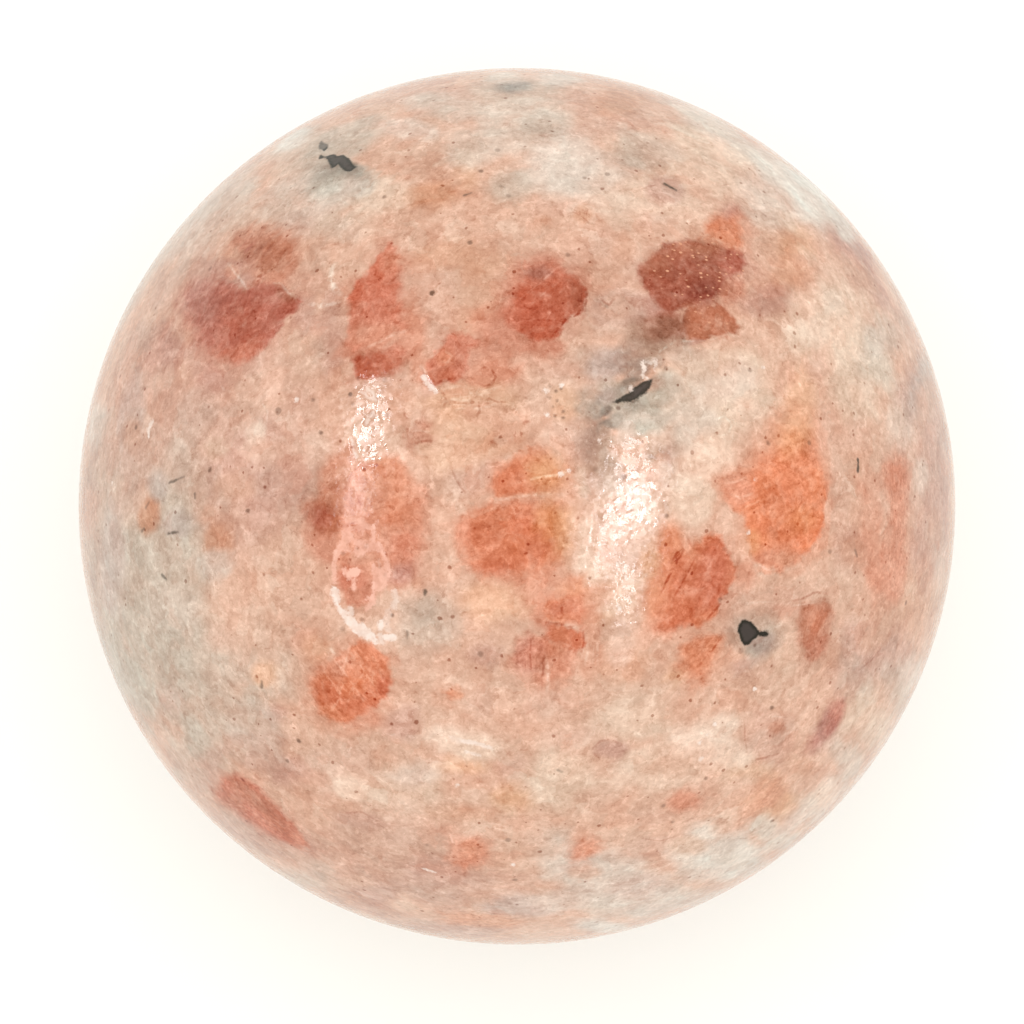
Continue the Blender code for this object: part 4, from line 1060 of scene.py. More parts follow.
worn_and_gleam_patches = [(outlined(outline), strength, colour) for colour, strength, outline in WORN_AND_GLEAM_PATCHES.values()]
gleam_gaps = [outlined(outline) for outline in GLEAM_GAPS]
glitter_places = [(*picture_oval(*oval), strength) for *oval, strength in GLITTER]

for middle in unseen_middles(*UNSEEN_CRYSTALS):
    radius = chance.uniform(*CRYSTAL_RADIUS)
    outline = blob(radius, chance.randint(*CRYSTAL_CORNERS), chance.uniform(*CRYSTAL_STRETCH))
    colour = CRYSTAL_COLOURS[chance.choice(list(CRYSTAL_COLOURS))]
    fade_way = (chance.uniform(0, math.tau), chance.choice(CRYSTAL_FADES))
    grain_way = (chance.uniform(0, math.tau), chance.uniform(*GRAIN_STRENGTH))
    patch = Patch(lay_round(outline, middle), closed=True)
    crystals.append((patch, colour, chance.uniform(*CRYSTAL_BLUR), fade_way, grain_way))
    for number in range(GLOWS_EACH):
        spot = lay_round([(chance.gauss(0, radius / 2), chance.gauss(0, radius / 2))], middle)[0]
        axes = np.diag([chance.uniform(*GLOW_SIZE), chance.uniform(*GLOW_SIZE)])
        lighter = chance.uniform(-GLOW_LIGHTER, GLOW_LIGHTER)
        shift = [lighter + chance.uniform(-GLOW_SHIFT, GLOW_SHIFT) for channel in range(3)]
        spot_colour = np.clip(np.array(colour) + shift, *GLOW_LIMITS)
        glows.append((spot, axes, spot_colour, chance.uniform(*COLOUR_STRENGTH)))
ground_choices = [name for name in GROUND_COLOURS if "smoke" not in name]
for middle in unseen_middles(*UNSEEN_CLOUDS):
    axes = np.diag([chance.uniform(*CLOUD_LENGTH), chance.uniform(*CLOUD_WIDTH)])
    colour = GROUND_COLOURS[chance.choice(ground_choices)]
    clouds.append((middle, axes, colour, chance.uniform(*COLOUR_STRENGTH)))
for number, middle in enumerate(unseen_middles(*UNSEEN_LINES)):
    patch = Patch(lay_round(wander(chance.uniform(*LINE_LENGTH), LINE_STEPS), middle))
    kind = cracks if number % 2 else seams
    kind.append((patch, chance.uniform(*LINE_WIDTH), chance.uniform(*LINE_STRENGTH)))
for number, middle in enumerate(unseen_middles(*UNSEEN_SPOTS)):
    if number % 4 == 0:
        patch = Patch(lay_round(wander(chance.uniform(*DASH_LENGTH), 1), middle))
        dark_lines.append((patch, chance.uniform(*DASH_WIDTH), chance.uniform(*DASH_STRENGTH)))
    elif number % 4 == 1:
        bruises_and_gleams.append((Patch(middle[None]), chance.uniform(*FLECK_RADIUS), FLECK_STRENGTH))
    else:
        dark_lines.append((Patch(middle[None]), chance.uniform(*DOT_RADIUS), chance.uniform(*DOT_STRENGTH)))
for middle in unseen_middles(*UNSEEN_DARK_GRAINS):
    outline = blob(chance.uniform(*DARK_RADIUS), DARK_CORNERS, DARK_STRETCH, DARK_ROUGHNESS)
    dark_grains.append((Patch(lay_round(outline, middle), closed=True), 1.0))
    clouds.append((middle, np.diag(DARK_HALO), GROUND_COLOURS["smoke"], HALO_STRENGTH))

# The ball's skin.
# A round grid, cut finer along each small mark so that its edge is crisp, with the marks' colours and
# distances held at its points, and with the faint relief that wear and polishing leave.
GRID_CELLS, FINEST = 72, 8
# How near a mark's edge, in mm, cells of each size are cut in four.
LINE_MARGINS = {8: 0.50, 4: 0.26}
FINE_MARGINS = {8: 0.50, 4: 0.26, 2: 0.15}
FLAT_CORNERS = 48
# How ragged the clouds' edges are, and how soft.
RAGGED_SHARE, CLOUD_SOFTNESS, GLOW_SOFTNESS = 0.35, 0.36, 0.5
OVAL_REACH, OVAL_MARGIN = 1.8, 0.5
# How far from a crystal, a mark and a line, in mm, its distance is held.
FAR, MARK_REACH, LINE_REACH = 3.0, 0.5, 0.45
# A dark mark that reaches less far than this, in mm, is a dot.
DOT_REACH = 0.05
LINE_FADE, FAR_BESIDE = (0.2, 0.42), 8.0
# Crystals: the blur in mm where there is none, where along one its fade lies, and how far apart in mm the
# places are that two crystals read their grain at.
NO_CRYSTAL_BLUR, FADE_SPAN, GRAIN_SHIFT = 0.4, (-0.2, 0.9), 5.0
# Noise: size of its waves in mm, octaves, seed.
RAGGED_NOISE, WAVE_NOISE, RING_NOISE = (2.4, 3, 7.0), (5.0, 2, 3.0), (0.9, 2, 9.0)
# Relief in mm: the polish's waves, cracks, bruises, crystals that stand a little proud, and the worn ring.
WAVE_HEIGHT, CRACK_DEPTH, BRUISE_DEPTH, BRUISE_EDGE, CRYSTAL_STEP = 0.010, 0.014, 0.035, (-0.08, 0.1), 0.006
RING_MIDDLE, RING_SIZE, RING_DEPTH = (360, 580), (26, 56), 0.07
RING_ROUGHNESS, RING_RAGGED, RING_FADE = 0.4, 0.25, (0.6, 1.1)
# Where glitter fades out about its ovals, and the cosine within which places count as round one of them.
GLITTER_FADE, SAME_SIDE = (0.7, 1.3), 0.5

# A cell of the grid: cube side, place across, place up, and size, in steps of the finest cut.
HALF_SIDE = GRID_CELLS * FINEST // 2
whole = [number * FINEST for number in range(GRID_CELLS)]
grid = np.array([(side, across, up, FINEST) for side in range(6) for across in whole for up in whole])


def cube_points(side, across, up):
    """Whole-number places on the cube: three for each cell or corner."""
    axis, sign = side % 3, np.where(side < 3, 1, -1)
    places_on_cube = np.empty((len(side), 3), int)
    row = np.arange(len(side))
    places_on_cube[row, axis] = sign * HALF_SIDE
    places_on_cube[row, (axis + 1) % 3] = across - HALF_SIDE
    places_on_cube[row, (axis + 2) % 3] = up - HALF_SIDE
    return places_on_cube


def to_ball(places_on_cube):
    """Directions from the ball's middle of places on the cube."""
    bent = np.tan(np.array(places_on_cube) / HALF_SIDE * math.pi / 4)
    return bent / np.linalg.norm(bent, axis=1)[:, None]


def refine(grid, marks, margins):
    """Cut cells of each size in four where they lie within that many mm of a mark's edge."""
    for size, margin in margins.items():
        side, across, up, sizes = grid.T
        centres = to_ball(cube_points(side, across + sizes // 2, up + sizes // 2))
        wanted = np.zeros(len(grid), bool)
        for patch, half_width in marks:
            chosen, flat = patch.nearby(centres, half_width + margin)
            wanted[chosen[np.abs(patch.offset(flat)[0] - half_width) < margin]] = True
        wanted &= sizes == size
        cut, half = grid[wanted], size // 2
        steps = [(0, 0, 0, -half), (0, half, 0, -half), (0, 0, half, -half), (0, half, half, -half)]
        grid = np.concatenate([grid[~wanted]] + [cut + step for step in steps])
    return grid


flat_turns = [math.tau * corner / FLAT_CORNERS for corner in range(FLAT_CORNERS)]
flat_rim = np.array([
    (REST_FLAT_RADIUS * math.cos(turn), REST_FLAT_RADIUS * math.sin(turn), -BALL_MIDDLE.z)
    for turn in flat_turns])
line_marks = [(patch, half_width) for patch, half_width, strength in cracks + seams]
line_marks.append((Patch(flat_rim / BALL_RADIUS, closed=True), 0.0))
fine_marks = [(mark[0], 0.0) for mark in dark_grains + worn_and_gleam_patches]
fine_marks += [(patch, 0.0) for patch in gleam_gaps]
fine_marks += [(patch, half_width) for patch, half_width, strength in dark_lines + bruises_and_gleams + gleam_rim_lines]
grid = refine(refine(grid, line_marks, LINE_MARGINS), fine_marks, FINE_MARGINS)

side, across, up, sizes = grid.T
corners = [(0, 0), (1, 0), (1, 1), (0, 1)]
corner_places = np.stack([cube_points(side, across + i * sizes, up + j * sizes) for i, j in corners], axis=1)
numbers = {}
for cell in corner_places.tolist():
    for corner in cell:
        numbers.setdefault(tuple(corner), len(numbers))


def edge_points(start, end):
    """The corners of finer cells that lie on one edge of a cell, from start up to just before end."""
    between = tuple((a + b) // 2 for a, b in zip(start, end))
    if between in (start, end) or between not in numbers:
        return [numbers[start]]
    return edge_points(start, between) + edge_points(between, end)


faces, fan_middles = [], []
for cell, cube_side in zip(corner_places.tolist(), side):
    around = [tuple(corner) for corner in (cell if cube_side < 3 else cell[::-1])]
    loop = [point for start, end in zip(around, around[1:] + around[:1]) for point in edge_points(start, end)]
    if len(loop) == 4:
        faces.append(loop)
    else:
        middle = len(numbers) + len(fan_middles)
        fan_middles.append([sum(parts) / 4 for parts in zip(*around)])
        faces += [(middle, start, end) for start, end in zip(loop, loop[1:] + loop[:1])]
places = to_ball(list(numbers) + fan_middles)


def roughness_at(scale, octaves, seed):
    """Soft noise from -1 to 1 at every point of the skin, its waves about scale mm across."""
    shift = Vector((seed, seed * 2.3, -seed))
    return np.array([
        noise.fractal(Vector(place) * (RADIUS / scale) + shift, 1.0, 2.0, octaves) for place in places])


def smooth(value, low, high):
    """A soft step from 0 at low to 1 at high."""
    share = np.clip((value - low) / (high - low), 0.0, 1.0)
    return share * share * (3 - 2 * share)


def oval_spread(directions, middle, axes):
    """How far out places lie in an oval: 0 at its middle and 1 on its edge."""
    return np.hypot(*(lay_flat(directions, middle) @ np.linalg.pinv(axes)).T)


ragged = roughness_at(*RAGGED_NOISE)


def paint(colours, spots, softness):
    """Lay ragged, soft-edged ovals of colour over the colours of the skin."""
    for middle, axes, colour, strength in spots:
        reach = float(np.abs(axes).sum(axis=0).max()) * OVAL_REACH + OVAL_MARGIN
        chosen = np.flatnonzero(places @ middle > math.cos(min(reach / RADIUS, math.pi)))
        spread = oval_spread(places[chosen], middle, axes) + RAGGED_SHARE * ragged[chosen]
        weight = (strength * (1 - smooth(spread, 1 - softness, 1 + softness)))[:, None]
        colours[chosen] = (1 - weight) * colours[chosen] + weight * pigment(colour)


ground = np.tile(pigment(GROUND_COLOURS[BASE_GROUND]), (len(places), 1))
paint(ground, clouds, CLOUD_SOFTNESS)
edge_depth = np.full(len(places), -FAR)
edge_blur = np.full(len(places), NO_CRYSTAL_BLUR)
tint = np.tile(pigment(CRYSTAL_COLOURS["coral"]), (len(places), 1))
grain_run = np.zeros((len(places), 3))
grain_strength = np.zeros(len(places))
for number, (patch, colour, blur, (fade_angle, fade), (grain_angle, grain)) in enumerate(crystals):
    chosen, flat = patch.nearby(places, FAR)
    depth = np.clip(patch.depth(flat), -FAR, FAR)
    lean = flat @ (math.cos(fade_angle), math.sin(fade_angle)) / patch.reach
    width = blur + fade * smooth(lean, *FADE_SPAN)
    nearer = depth / width > edge_depth[chosen] / edge_blur[chosen]
    chosen, flat, depth, width = chosen[nearer], flat[nearer], depth[nearer], width[nearer]
    edge_depth[chosen], edge_blur[chosen] = depth, width
    tint[chosen] = pigment(colour)
    run, across = math.cos(grain_angle), math.sin(grain_angle)
    grain_run[chosen, 0] = flat @ (run, across)
    grain_run[chosen, 1] = flat @ (-across, run)
    grain_run[chosen, 2] = number * GRAIN_SHIFT
    grain_strength[chosen] = grain
paint(tint, glows, GLOW_SOFTNESS)

# Painted shade: towards the ball's rim, as the camera sees it, the polish mirrors more of the white board, so
# the colours of the ground and the crystals are darkened there by that much.
RIM_PAINTED_SHADE, SLANT_PAINTED_SHADE, PAINTED_SHADE_LIMIT, PAINTED_SHADE_FADE, PAINTED_SHADE_DEEPEST = 0.9, 0.05, 0.075, (0.02, 0.2), 0.02
facing = places @ view_direction
slant = np.clip(1 - facing, 0, 1)
painted_rim_shade = np.minimum(RIM_PAINTED_SHADE * slant**8 + SLANT_PAINTED_SHADE * slant**2, PAINTED_SHADE_LIMIT) * smooth(facing, *PAINTED_SHADE_FADE)
ground, tint = [np.clip(colours - painted_rim_shade[:, None], PAINTED_SHADE_DEEPEST, 1) for colours in (ground, tint)]


class Layer:
    """Marks of one kind: how deep inside one each point of the skin lies in mm, its strength and colour."""

    def __init__(self, colour):
        self.depth = np.full(len(places), -MARK_REACH)
        self.strength = np.zeros(len(places))
        self.colour = np.tile(pigment(colour), (len(places), 1))

    def add(self, patch, half_width, strength, colour, over=False):
        """Lay one mark, closed or a line, where it lies deeper than those before, or over them all."""
        chosen, flat = patch.nearby(places, MARK_REACH + half_width)
        depth = patch.depth(flat) if patch.closed else half_width - patch.offset(flat)[0]
        depth = np.clip(depth, -MARK_REACH, MARK_REACH)
        deeper = depth > self.depth[chosen]
        self.depth[chosen[deeper]] = depth[deeper]
        taken = chosen if over else chosen[deeper]
        self.strength[taken] = strength
        self.colour[taken] = pigment(colour)

    def cut(self, patch):
        """Take the inside of a closed outline out of the marks."""
        chosen, flat = patch.nearby(places, MARK_REACH)
        depth = np.clip(patch.depth(flat), -MARK_REACH, MARK_REACH)
        self.depth[chosen] = np.minimum(self.depth[chosen], -depth)


dark = Layer(SPOT_BROWN)
for patch, strength in dark_grains:
    dark.add(patch, 0.0, strength, GRAIN_BLACK, over=True)
for patch, half_width, strength in dark_lines:
    dark.add(patch, half_width, strength, DASH_GREY if patch.reach > DOT_REACH else SPOT_BROWN)
# This layer holds the white bruises and the left gleam's painted highlight.
bruise_and_gleam = Layer(BRUISE_AND_GLEAM_WHITE)
for patch, strength, colour in worn_and_gleam_patches:
    bruise_and_gleam.add(patch, 0.0, strength, colour)
for patch in gleam_gaps:
    bruise_and_gleam.cut(patch)
for lines, colour in ((gleam_rim_lines, PAINTED_GLEAM_PINK), (bruises_and_gleams, BRUISE_AND_GLEAM_WHITE)):
    for patch, half_width, strength in lines:
        bruise_and_gleam.add(patch, half_width, strength, colour)


def draw(lines):
    """Side-signed distance from the nearest line in half widths, and the line's strength, at every point."""
    beside, strengths = np.full(len(places), FAR_BESIDE), np.zeros(len(places))
    for patch, half_width, strength in lines:
        chosen, flat = patch.nearby(places, LINE_REACH)
        gap, side, passed = patch.offset(flat)
        power = strength * (1 - smooth(gap, *LINE_FADE)) * np.clip(np.sin(math.pi * passed), 0, 1) ** 0.5
        nearer = (power > 0) & (gap / half_width < np.abs(beside[chosen]))
        beside[chosen[nearer]] = (side * gap / half_width)[nearer]
        strengths[chosen[nearer]] = power[nearer]
    return beside, strengths


crack_beside, crack_strength = draw(cracks)
seam_beside, seam_strength = draw(seams)

glitter = np.zeros(len(places))
for middle, axes, strength in glitter_places:
    here = np.flatnonzero(places @ middle > SAME_SIDE)
    share = 1 - smooth(oval_spread(places[here], middle, axes), *GLITTER_FADE)
    glitter[here] = np.maximum(glitter[here], strength * share)

ring_middle, ring_axes = picture_oval(*RING_MIDDLE, *RING_SIZE, 0)
ring_spread = oval_spread(places, ring_middle, ring_axes) + RING_RAGGED * ragged
worn = (1 - smooth(ring_spread, *RING_FADE)) * (places @ ring_middle > SAME_SIDE)

relief = WAVE_HEIGHT * roughness_at(*WAVE_NOISE)
relief -= CRACK_DEPTH * crack_strength * np.exp(-crack_beside**2)
relief -= BRUISE_DEPTH * smooth(bruise_and_gleam.depth, *BRUISE_EDGE)
relief += CRYSTAL_STEP * smooth(edge_depth / edge_blur, -1.0, 1.0)
relief -= RING_DEPTH * worn * (1 + RING_ROUGHNESS * roughness_at(*RING_NOISE))

# Points below the small flat are brought up to it, and those near its rim are moved on to the rim.
RIM_SNAP, FLAT_SNAP = 0.00010, 0.0000125
points = np.array(BALL_MIDDLE) + places * (RADIUS + relief)[:, None] / MM_IN_METRE
away = np.hypot(points[:, 0], points[:, 1])
near_rim = (points[:, 2] < RIM_SNAP) & (np.abs(away - REST_FLAT_RADIUS) < RIM_SNAP)
points[near_rim, :2] *= (REST_FLAT_RADIUS / away[near_rim])[:, None]
points[near_rim | (points[:, 2] < FLAT_SNAP), 2] = 0.0
skin_mesh = bpy.data.meshes.new("sunstone_ball")
skin_mesh.from_pydata(points.tolist(), [], faces)
skin_mesh.shade_smooth()
stone_ball = bpy.data.objects.new("sunstone_ball", skin_mesh)
bpy.context.scene.collection.objects.link(stone_ball)


def hold(name, kind, field, values):
    """Keep a number, colour or vector for each point of the skin."""
    skin_mesh.attributes.new(name, kind, "POINT").data.foreach_set(field, values.astype(np.float32).ravel())


held_numbers = {
    "edge_depth": edge_depth, "edge_blur": edge_blur, "grain_strength": grain_strength, "glitter": glitter,
    "worn": worn, "dark": dark.depth, "dark_strength": dark.strength, "bruise_and_gleam": bruise_and_gleam.depth,
    "bruise_and_gleam_strength": bruise_and_gleam.strength, "crack_beside": crack_beside, "crack_strength": crack_strength,
    "seam_beside": seam_beside, "seam_strength": seam_strength,
}
held_colours = {"ground": ground, "tint": tint, "dark_colour": dark.colour, "bruise_and_gleam_colour": bruise_and_gleam.colour}
for name, values in held_numbers.items():
    hold(name, "FLOAT", "value", values)
for name, colours in held_colours.items():
    hold(name, "FLOAT_COLOR", "color", np.hstack([colours, np.ones((len(colours), 1))]))
hold("grain_run", "FLOAT_VECTOR", "vector", grain_run)

# Polished sunstone.
# Feldspar with a glassy polish. Under the painted clouds and crystals lies the fine make-up of the rock:
# grains, hair cracks, brown specks and milky spots, all from noise in millimetres of the stone itself.
FLAKE_PEACH = (236, 172, 138)
# Noise: the size of its waves in mm, and its detail.
DRIFT, BROAD, MIDDLING, FINE, GRAIN = (2.2, 2.0), (2.8, 2.0), (0.9, 3.0), (0.40, 3.0), (1.0, 3.0)
HAIR, SAND, GRIT, UNEVEN = (0.50, 1.5), (0.24, 2.0), (0.13, 1.0), (0.55, 1.5)
# Cells: their size in mm.
FACET_SIZE, RIFT_SIZE, SPECK_SIZE, FLAKE_SIZE = 1.25, 1.9, 0.75, 0.40
# How far in mm noise moves the places that other noise and cells are read at.
DRIFT_REACH, SHAKE_REACH = 2.0, 0.9
# Crystals: how noise moves their edges in mm, the blur that all have, and how milk and the halo thin them.
EDGE_SWAY, FINE_SWAY, LEAST_BLUR, HALO_SPAN = 0.8, 0.45, 0.1, (-1.5, 0.2)
MILK_BAND, MILK_THINS, CLEAREST = (0.45, 0.75), -0.16, 0.97
HALO_BAND, HALO_IN_PLACES, HALO_LEAST = (0.40, 0.60), 0.26, 0.04
# Where noise turns from one state to the other, for each part of the texture.
CLOUD_BAND, BLUSH_BAND, PALE_BAND = (0.40, 0.60), (0.42, 0.60), (0.38, 0.62)
STAIN_BAND, STAIN_PLACES, PIT_BAND, PEARL_BAND = (0.54, 0.68), (0.42, 0.58), (0.50, 0.60), (0.54, 0.64)
BROWN_HAIR_AT, BROWN_HAIR_PLACES, PALE_HAIR_AT, PALE_HAIR_PLACES = 0.47, (0.40, 0.56), 0.56, (0.44, 0.60)
HAIR_EDGE, RIFT_EDGE, RIFT_PLACES = (0.030, 0.004), (0.075, 0.01), (0.46, 0.62)
SPECK_LEAST, SPECK_MORE, SPECK_SWAY, SPECK_EDGE, SPECK_PLACES = 0.05, 0.10, 0.45, (1.5, 0.5), (0.62, 0.66)
LINE_EDGE, LINE_BREAKS = (1.7, 0.2), (0.34, 0.54)
# How much finer or longer the crystals' grain and the flakes are each way.
GRAIN_STRETCH, FLAKE_STRETCH = (0.7, 4.0, 1.0), (1.0, 1.6, 1.0)
# How each part changes the stone's tone: its strength, and its shares of red, green and blue.
CLOUDED, FACETED, CLOUDED_TINT = 0.022, 0.045, (0.84, 1.06, 1.10)
BLUSHED, BLUSH_FACETED, BLUSH_TINT = 0.005, 0.012, (1.0, -0.5, -0.8)
PALER, PALE_FACETED, STAINED, PALE_TINT = 0.018, 0.025, -0.045, (0.87, 1.05, 1.08)
GRITTY, FINEST_GRITTY, PEARLY, GRIT_TINT = 0.15, 0.08, 0.03, (0.97, 1.01, 1.01)
STRIPED, SANDY, PITTED, DULLED = 0.45, 0.16, -0.02, -0.01
BROWN_HAIR, PALE_HAIR, RIFTED, HAIR_TINT = -0.045, 0.03, 0.045, (0.95, 1.02, 1.05)
SPECKED, SPECK_TINT = -0.20, (0.9, 1.05, 1.05)
SEAMED, SEAM_TINT = -0.26, (0.85, 1.1, 1.1)
CRACKED, CRACK_TINT = 0.17, (0.6, 1.05, 1.15)
# Flakes, dark marks, and the bruises with the left gleam's painted highlight: how noise moves their edges,
# how sharp those are, and where they show.
FLAKE_SWAY, FLAKE_EDGE, FLAKE_PLACES = 0.5, (0.32, 0.12), (0.55, 0.75)
DARK_SWAY, DARK_FINE_SWAY, DARK_EDGE, CORE_EDGE, CORE_STRENGTH = 0.3, 0.1, (-0.10, 0.07), (0.08, 0.30), 0.8
BRUISE_AND_GLEAM_SWAY, BRUISE_AND_GLEAM_FINE_SWAY, BRUISE_AND_GLEAM_SHOWS = 0.4, 0.25, (-0.10, 0.09)
BRUISE_AND_GLEAM_PLACES, BRUISE_AND_GLEAM_IN_PLACES, BRUISE_AND_GLEAM_LEAST = (0.80, 1.20), 0.5, 0.7
# The polish.
STONE_IOR, STONE_SPECULAR = 1.53, 0.15
SMOOTHEST, ROUGHER_IN_PLACES, ROUGHER_BRUISE_AND_GLEAM, ROUGHER_WORN, ROUGH_BAND = 0.05, 0.16, 0.4, 0.2, (0.44, 0.60)
UNEVEN_HEIGHT, UNEVEN_STRENGTH = 0.000038, 0.75
stone = bpy.data.materials.new("polished_sunstone")
stone.use_nodes = True
tree = stone.node_tree
shader = tree.nodes["Principled BSDF"]


def node(kind, inputs, output=0, **settings):
    """Add a node, set or join its inputs by name or number, and give back one of its outputs."""
    new = tree.nodes.new(kind)
    for name, value in settings.items():
        setattr(new, name, value)
    for name, value in inputs.items():
        if isinstance(value, bpy.types.NodeSocket):
            tree.links.new(value, new.inputs[name])
        else:
            new.inputs[name].default_value = value
    return new.outputs[output]


def calc(operation, first, second=0.0, third=0.0):
    """Reckon with numbers."""
    return node("ShaderNodeMath", {0: first, 1: second, 2: third}, operation=operation)


def step(value, low, high, start=0.0):
    """A soft step from start at low to 1 at high."""
    limits = {"Value": value, "From Min": low, "From Max": high, "To Min": start}
    return node("ShaderNodeMapRange", limits, interpolation_type="SMOOTHSTEP")


def lay_over(under, over, share):
    """Mix one colour over another."""
    if isinstance(over, tuple):
        over = (*pigment(over), 1.0)
    return node("ShaderNodeMix", {0: share, 6: under, 7: over}, output=2, data_type="RGBA")


def held(name, output="Fac"):
    """A number, colour or vector that the skin's points hold."""
    return node("ShaderNodeAttribute", {}, output, attribute_name=name)


def vector_calc(operation, inputs):
    """Reckon with vectors."""
    return node("ShaderNodeVectorMath", inputs, operation=operation)


def mottle(vector, size, detail, output="Fac"):
    """Cloudy noise with waves about size mm across."""
    return node("ShaderNodeTexNoise", {"Vector": vector, "Scale": 1 / size, "Detail": detail}, output)


def cells(vector, size, output, feature="F1"):
    """Packed cells about size mm across: distance from their middles, or a colour for each."""
    return node("ShaderNodeTexVoronoi", {"Vector": vector, "Scale": 1 / size}, output, feature=feature)


def channels(colour):
    """The three numbers of a colour."""
    split = tree.nodes.new("ShaderNodeSeparateColor")
    tree.links.new(colour, split.inputs[0])
    return split.outputs


def total(*numbers):
    """The sum of some numbers."""
    result = numbers[0]
    for number in numbers[1:]:
        result = calc("ADD", result, number)
    return result


def times(first, second):
    """The product of two numbers."""
    return calc("MULTIPLY", first, second)


def about_zero(value, scale):
    """Noise, which runs about 0.5, as a swing about zero."""
    return calc("MULTIPLY_ADD", value, scale, -0.5 * scale)


def shift_tone(tone, amount, shares):
    """Add one number to a colour, in these shares of red, green and blue."""
    all_three = node("ShaderNodeCombineXYZ", {0: amount, 1: amount, 2: amount})
    return vector_calc("MULTIPLY_ADD", {0: all_three, 1: shares, 2: tone})


def swing(value, low, high):
    """A soft step from -1 at low to 1 at high."""
    return step(value, low, high, start=-1.0)


def hairline(value, middle):
    """A thin line wherever noise passes this value."""
    return step(calc("ABSOLUTE", calc("SUBTRACT", value, middle)), *HAIR_EDGE)


metres = tree.nodes.new("ShaderNodeTexCoord").outputs["Object"]
place = vector_calc("SCALE", {0: metres, "Scale": MM_IN_METRE})
drift = vector_calc("SUBTRACT", {0: mottle(place, *DRIFT, "Color"), 1: (0.5,) * 3})
curled = vector_calc("MULTIPLY_ADD", {0: drift, 1: (DRIFT_REACH,) * 3, 2: place})
fine_colour = mottle(place, *FINE, "Color")
shaken = vector_calc("MULTIPLY_ADD", {0: fine_colour, 1: (SHAKE_REACH,) * 3, 2: curled})

broad = channels(mottle(curled, *BROAD, "Color"))
middling = channels(mottle(curled, *MIDDLING, "Color"))
fine = channels(fine_colour)
finest = mottle(place, *GRIT)
facet = channels(cells(shaken, FACET_SIZE, "Color"))
rifts = cells(shaken, RIFT_SIZE, "Distance", "DISTANCE_TO_EDGE")
hair = mottle(curled, *HAIR)
sand = mottle(place, *SAND)
speck_distance = cells(place, SPECK_SIZE, "Distance")
speck_kind = channels(cells(place, SPECK_SIZE, "Color"))

# How clearly the crystals show: full inside their outlines, and a faint halo where one dips under the ground.
flesh_depth = total(
    held("edge_depth"), about_zero(middling[1], EDGE_SWAY), about_zero(fine[2], FINE_SWAY))
inside = calc("DIVIDE", flesh_depth, calc("ADD", held("edge_blur"), LEAST_BLUR))
milky = calc("MULTIPLY_ADD", step(middling[0], *MILK_BAND), MILK_THINS, CLEAREST)
clear = times(step(inside, -1.0, 1.0), milky)
halo_strength = calc("MULTIPLY_ADD", step(broad[2], *HALO_BAND), HALO_IN_PLACES, HALO_LEAST)
halo = times(step(flesh_depth, *HALO_SPAN), halo_strength)
flesh = calc("MAXIMUM", clear, halo)
mixed = lay_over(held("ground", "Color"), held("tint", "Color"), flesh)

# The texture is added as the eye sees brightness, so that it shows alike on pale and on deep colours.
EYE = 2.2
tone = node("ShaderNodeGamma", {"Color": mixed, "Gamma": 1 / EYE})
clouded = total(times(swing(broad[0], *CLOUD_BAND), CLOUDED), about_zero(facet[0], FACETED))
blushed = total(times(swing(broad[1], *BLUSH_BAND), BLUSHED), about_zero(facet[2], BLUSH_FACETED))
stain = times(step(middling[1], *STAIN_BAND), step(fine[1], *STAIN_PLACES))
pale = total(
    times(swing(middling[0], *PALE_BAND), PALER), about_zero(facet[1], PALE_FACETED), times(stain, STAINED))

speck_size = calc("MULTIPLY_ADD", speck_kind[1], SPECK_MORE, SPECK_LEAST)
speck_edge = total(speck_distance, about_zero(fine[1], SPECK_SWAY))
speck = times(step(calc("DIVIDE", speck_edge, speck_size), *SPECK_EDGE), step(speck_kind[0], *SPECK_PLACES))
stretch = vector_calc("MULTIPLY", {0: held("grain_run", "Vector"), 1: GRAIN_STRETCH})
stripes = times(about_zero(mottle(stretch, *GRAIN), STRIPED), times(held("grain_strength"), flesh))
pits, pearls = step(fine[1], *PIT_BAND), step(fine[2], *PEARL_BAND)
grit = total(about_zero(fine[0], GRITTY), about_zero(finest, FINEST_GRITTY), times(pearls, PEARLY))
in_flesh = times(flesh, total(about_zero(sand, SANDY), times(pits, PITTED), times(pearls, DULLED)))
brown_hair = times(hairline(hair, BROWN_HAIR_AT), step(fine[1], *BROWN_HAIR_PLACES))
pale_hair = times(hairline(hair, PALE_HAIR_AT), step(fine[2], *PALE_HAIR_PLACES))
rift = times(step(rifts, *RIFT_EDGE), step(middling[2], *RIFT_PLACES))
hairs = total(times(brown_hair, BROWN_HAIR), times(pale_hair, PALE_HAIR), times(rift, RIFTED))


def line_share(beside, strength):
    """How strongly a crack or seam shows, from the side-signed distance."""
    broken = times(held(strength), step(fine[2], *LINE_BREAKS))
    return times(step(calc("ABSOLUTE", held(beside)), *LINE_EDGE), broken)


tone_parts = [
    (clouded, CLOUDED_TINT), (blushed, BLUSH_TINT), (pale, PALE_TINT),
    (total(grit, in_flesh, stripes), GRIT_TINT), (hairs, HAIR_TINT), (times(speck, SPECKED), SPECK_TINT),
    (times(line_share("seam_beside", "seam_strength"), SEAMED), SEAM_TINT),
    (times(line_share("crack_beside", "crack_strength"), CRACKED), CRACK_TINT),
]
for amount, shares in tone_parts:
    tone = shift_tone(tone, amount, shares)
colour = node("ShaderNodeGamma", {"Color": tone, "Gamma": EYE})

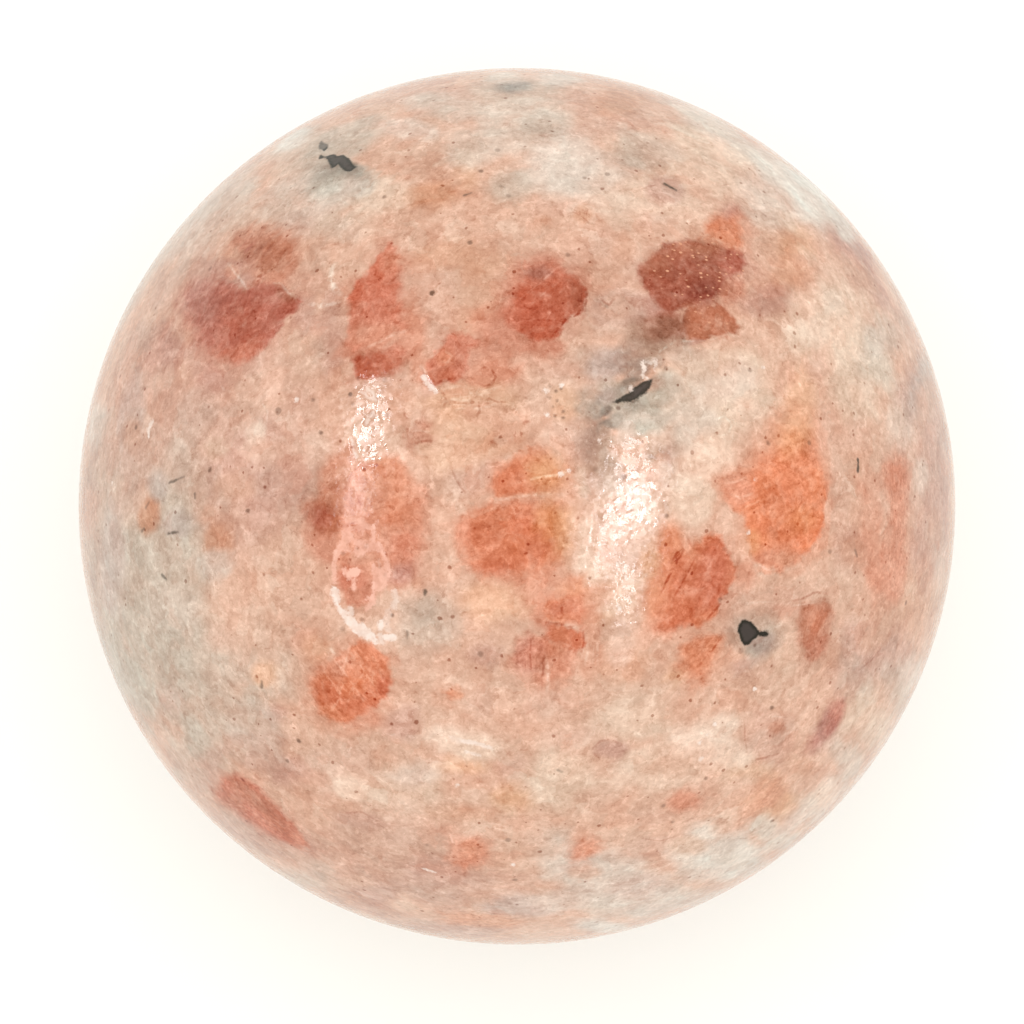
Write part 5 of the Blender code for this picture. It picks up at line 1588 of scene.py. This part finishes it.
# What lies over it: glinting flakes, dark grains and spots with paler cores, then bruises and the left
# gleam's painted highlight.
flake_place = vector_calc("MULTIPLY", {0: place, 1: FLAKE_STRETCH})
flake_kind = channels(cells(flake_place, FLAKE_SIZE, "Color"))
flake_edge = total(cells(flake_place, FLAKE_SIZE, "Distance"), about_zero(fine[1], FLAKE_SWAY))
flake = times(step(flake_edge, *FLAKE_EDGE), step(flake_kind[0], *FLAKE_PLACES))
colour = lay_over(colour, FLAKE_PEACH, times(flake, held("glitter")))
dark_edge = total(held("dark"), about_zero(fine[0], DARK_SWAY), about_zero(finest, DARK_FINE_SWAY))
darkness = times(step(dark_edge, *DARK_EDGE), held("dark_strength"))
in_core = times(step(dark_edge, *CORE_EDGE), CORE_STRENGTH)
colour = lay_over(colour, lay_over(held("dark_colour", "Color"), CORE_GREY, in_core), darkness)
bruise_and_gleam_edge = total(held("bruise_and_gleam"), about_zero(fine[1], BRUISE_AND_GLEAM_SWAY), about_zero(finest, BRUISE_AND_GLEAM_FINE_SWAY))
patchy = calc(
    "MULTIPLY_ADD", step(total(middling[1], fine[0]), *BRUISE_AND_GLEAM_PLACES), BRUISE_AND_GLEAM_IN_PLACES, BRUISE_AND_GLEAM_LEAST)
bruise_and_gleam_share = times(times(step(bruise_and_gleam_edge, *BRUISE_AND_GLEAM_SHOWS), held("bruise_and_gleam_strength")), patchy)
# Painted highlight: the left gleam's pieces are laid into the colour here, together with the white bruises.
colour = lay_over(colour, held("bruise_and_gleam_colour", "Color"), bruise_and_gleam_share)
tree.links.new(colour, shader.inputs["Base Color"])

rough = calc("MULTIPLY_ADD", step(fine[0], *ROUGH_BAND), ROUGHER_IN_PLACES, SMOOTHEST)
rough = calc("MULTIPLY_ADD", bruise_and_gleam_share, ROUGHER_BRUISE_AND_GLEAM, rough)
rough = calc("MULTIPLY_ADD", held("worn"), ROUGHER_WORN, rough)
tree.links.new(rough, shader.inputs["Roughness"])
shader.inputs["IOR"].default_value = STONE_IOR
shader.inputs["Specular IOR Level"].default_value = STONE_SPECULAR
uneven = mottle(place, *UNEVEN)
bump = node("ShaderNodeBump", {"Height": uneven, "Distance": UNEVEN_HEIGHT, "Strength": UNEVEN_STRENGTH})
tree.links.new(bump, shader.inputs["Normal"])
skin_mesh.materials.append(stone)

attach(stone_ball, "root")
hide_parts("sunstone_sphere")
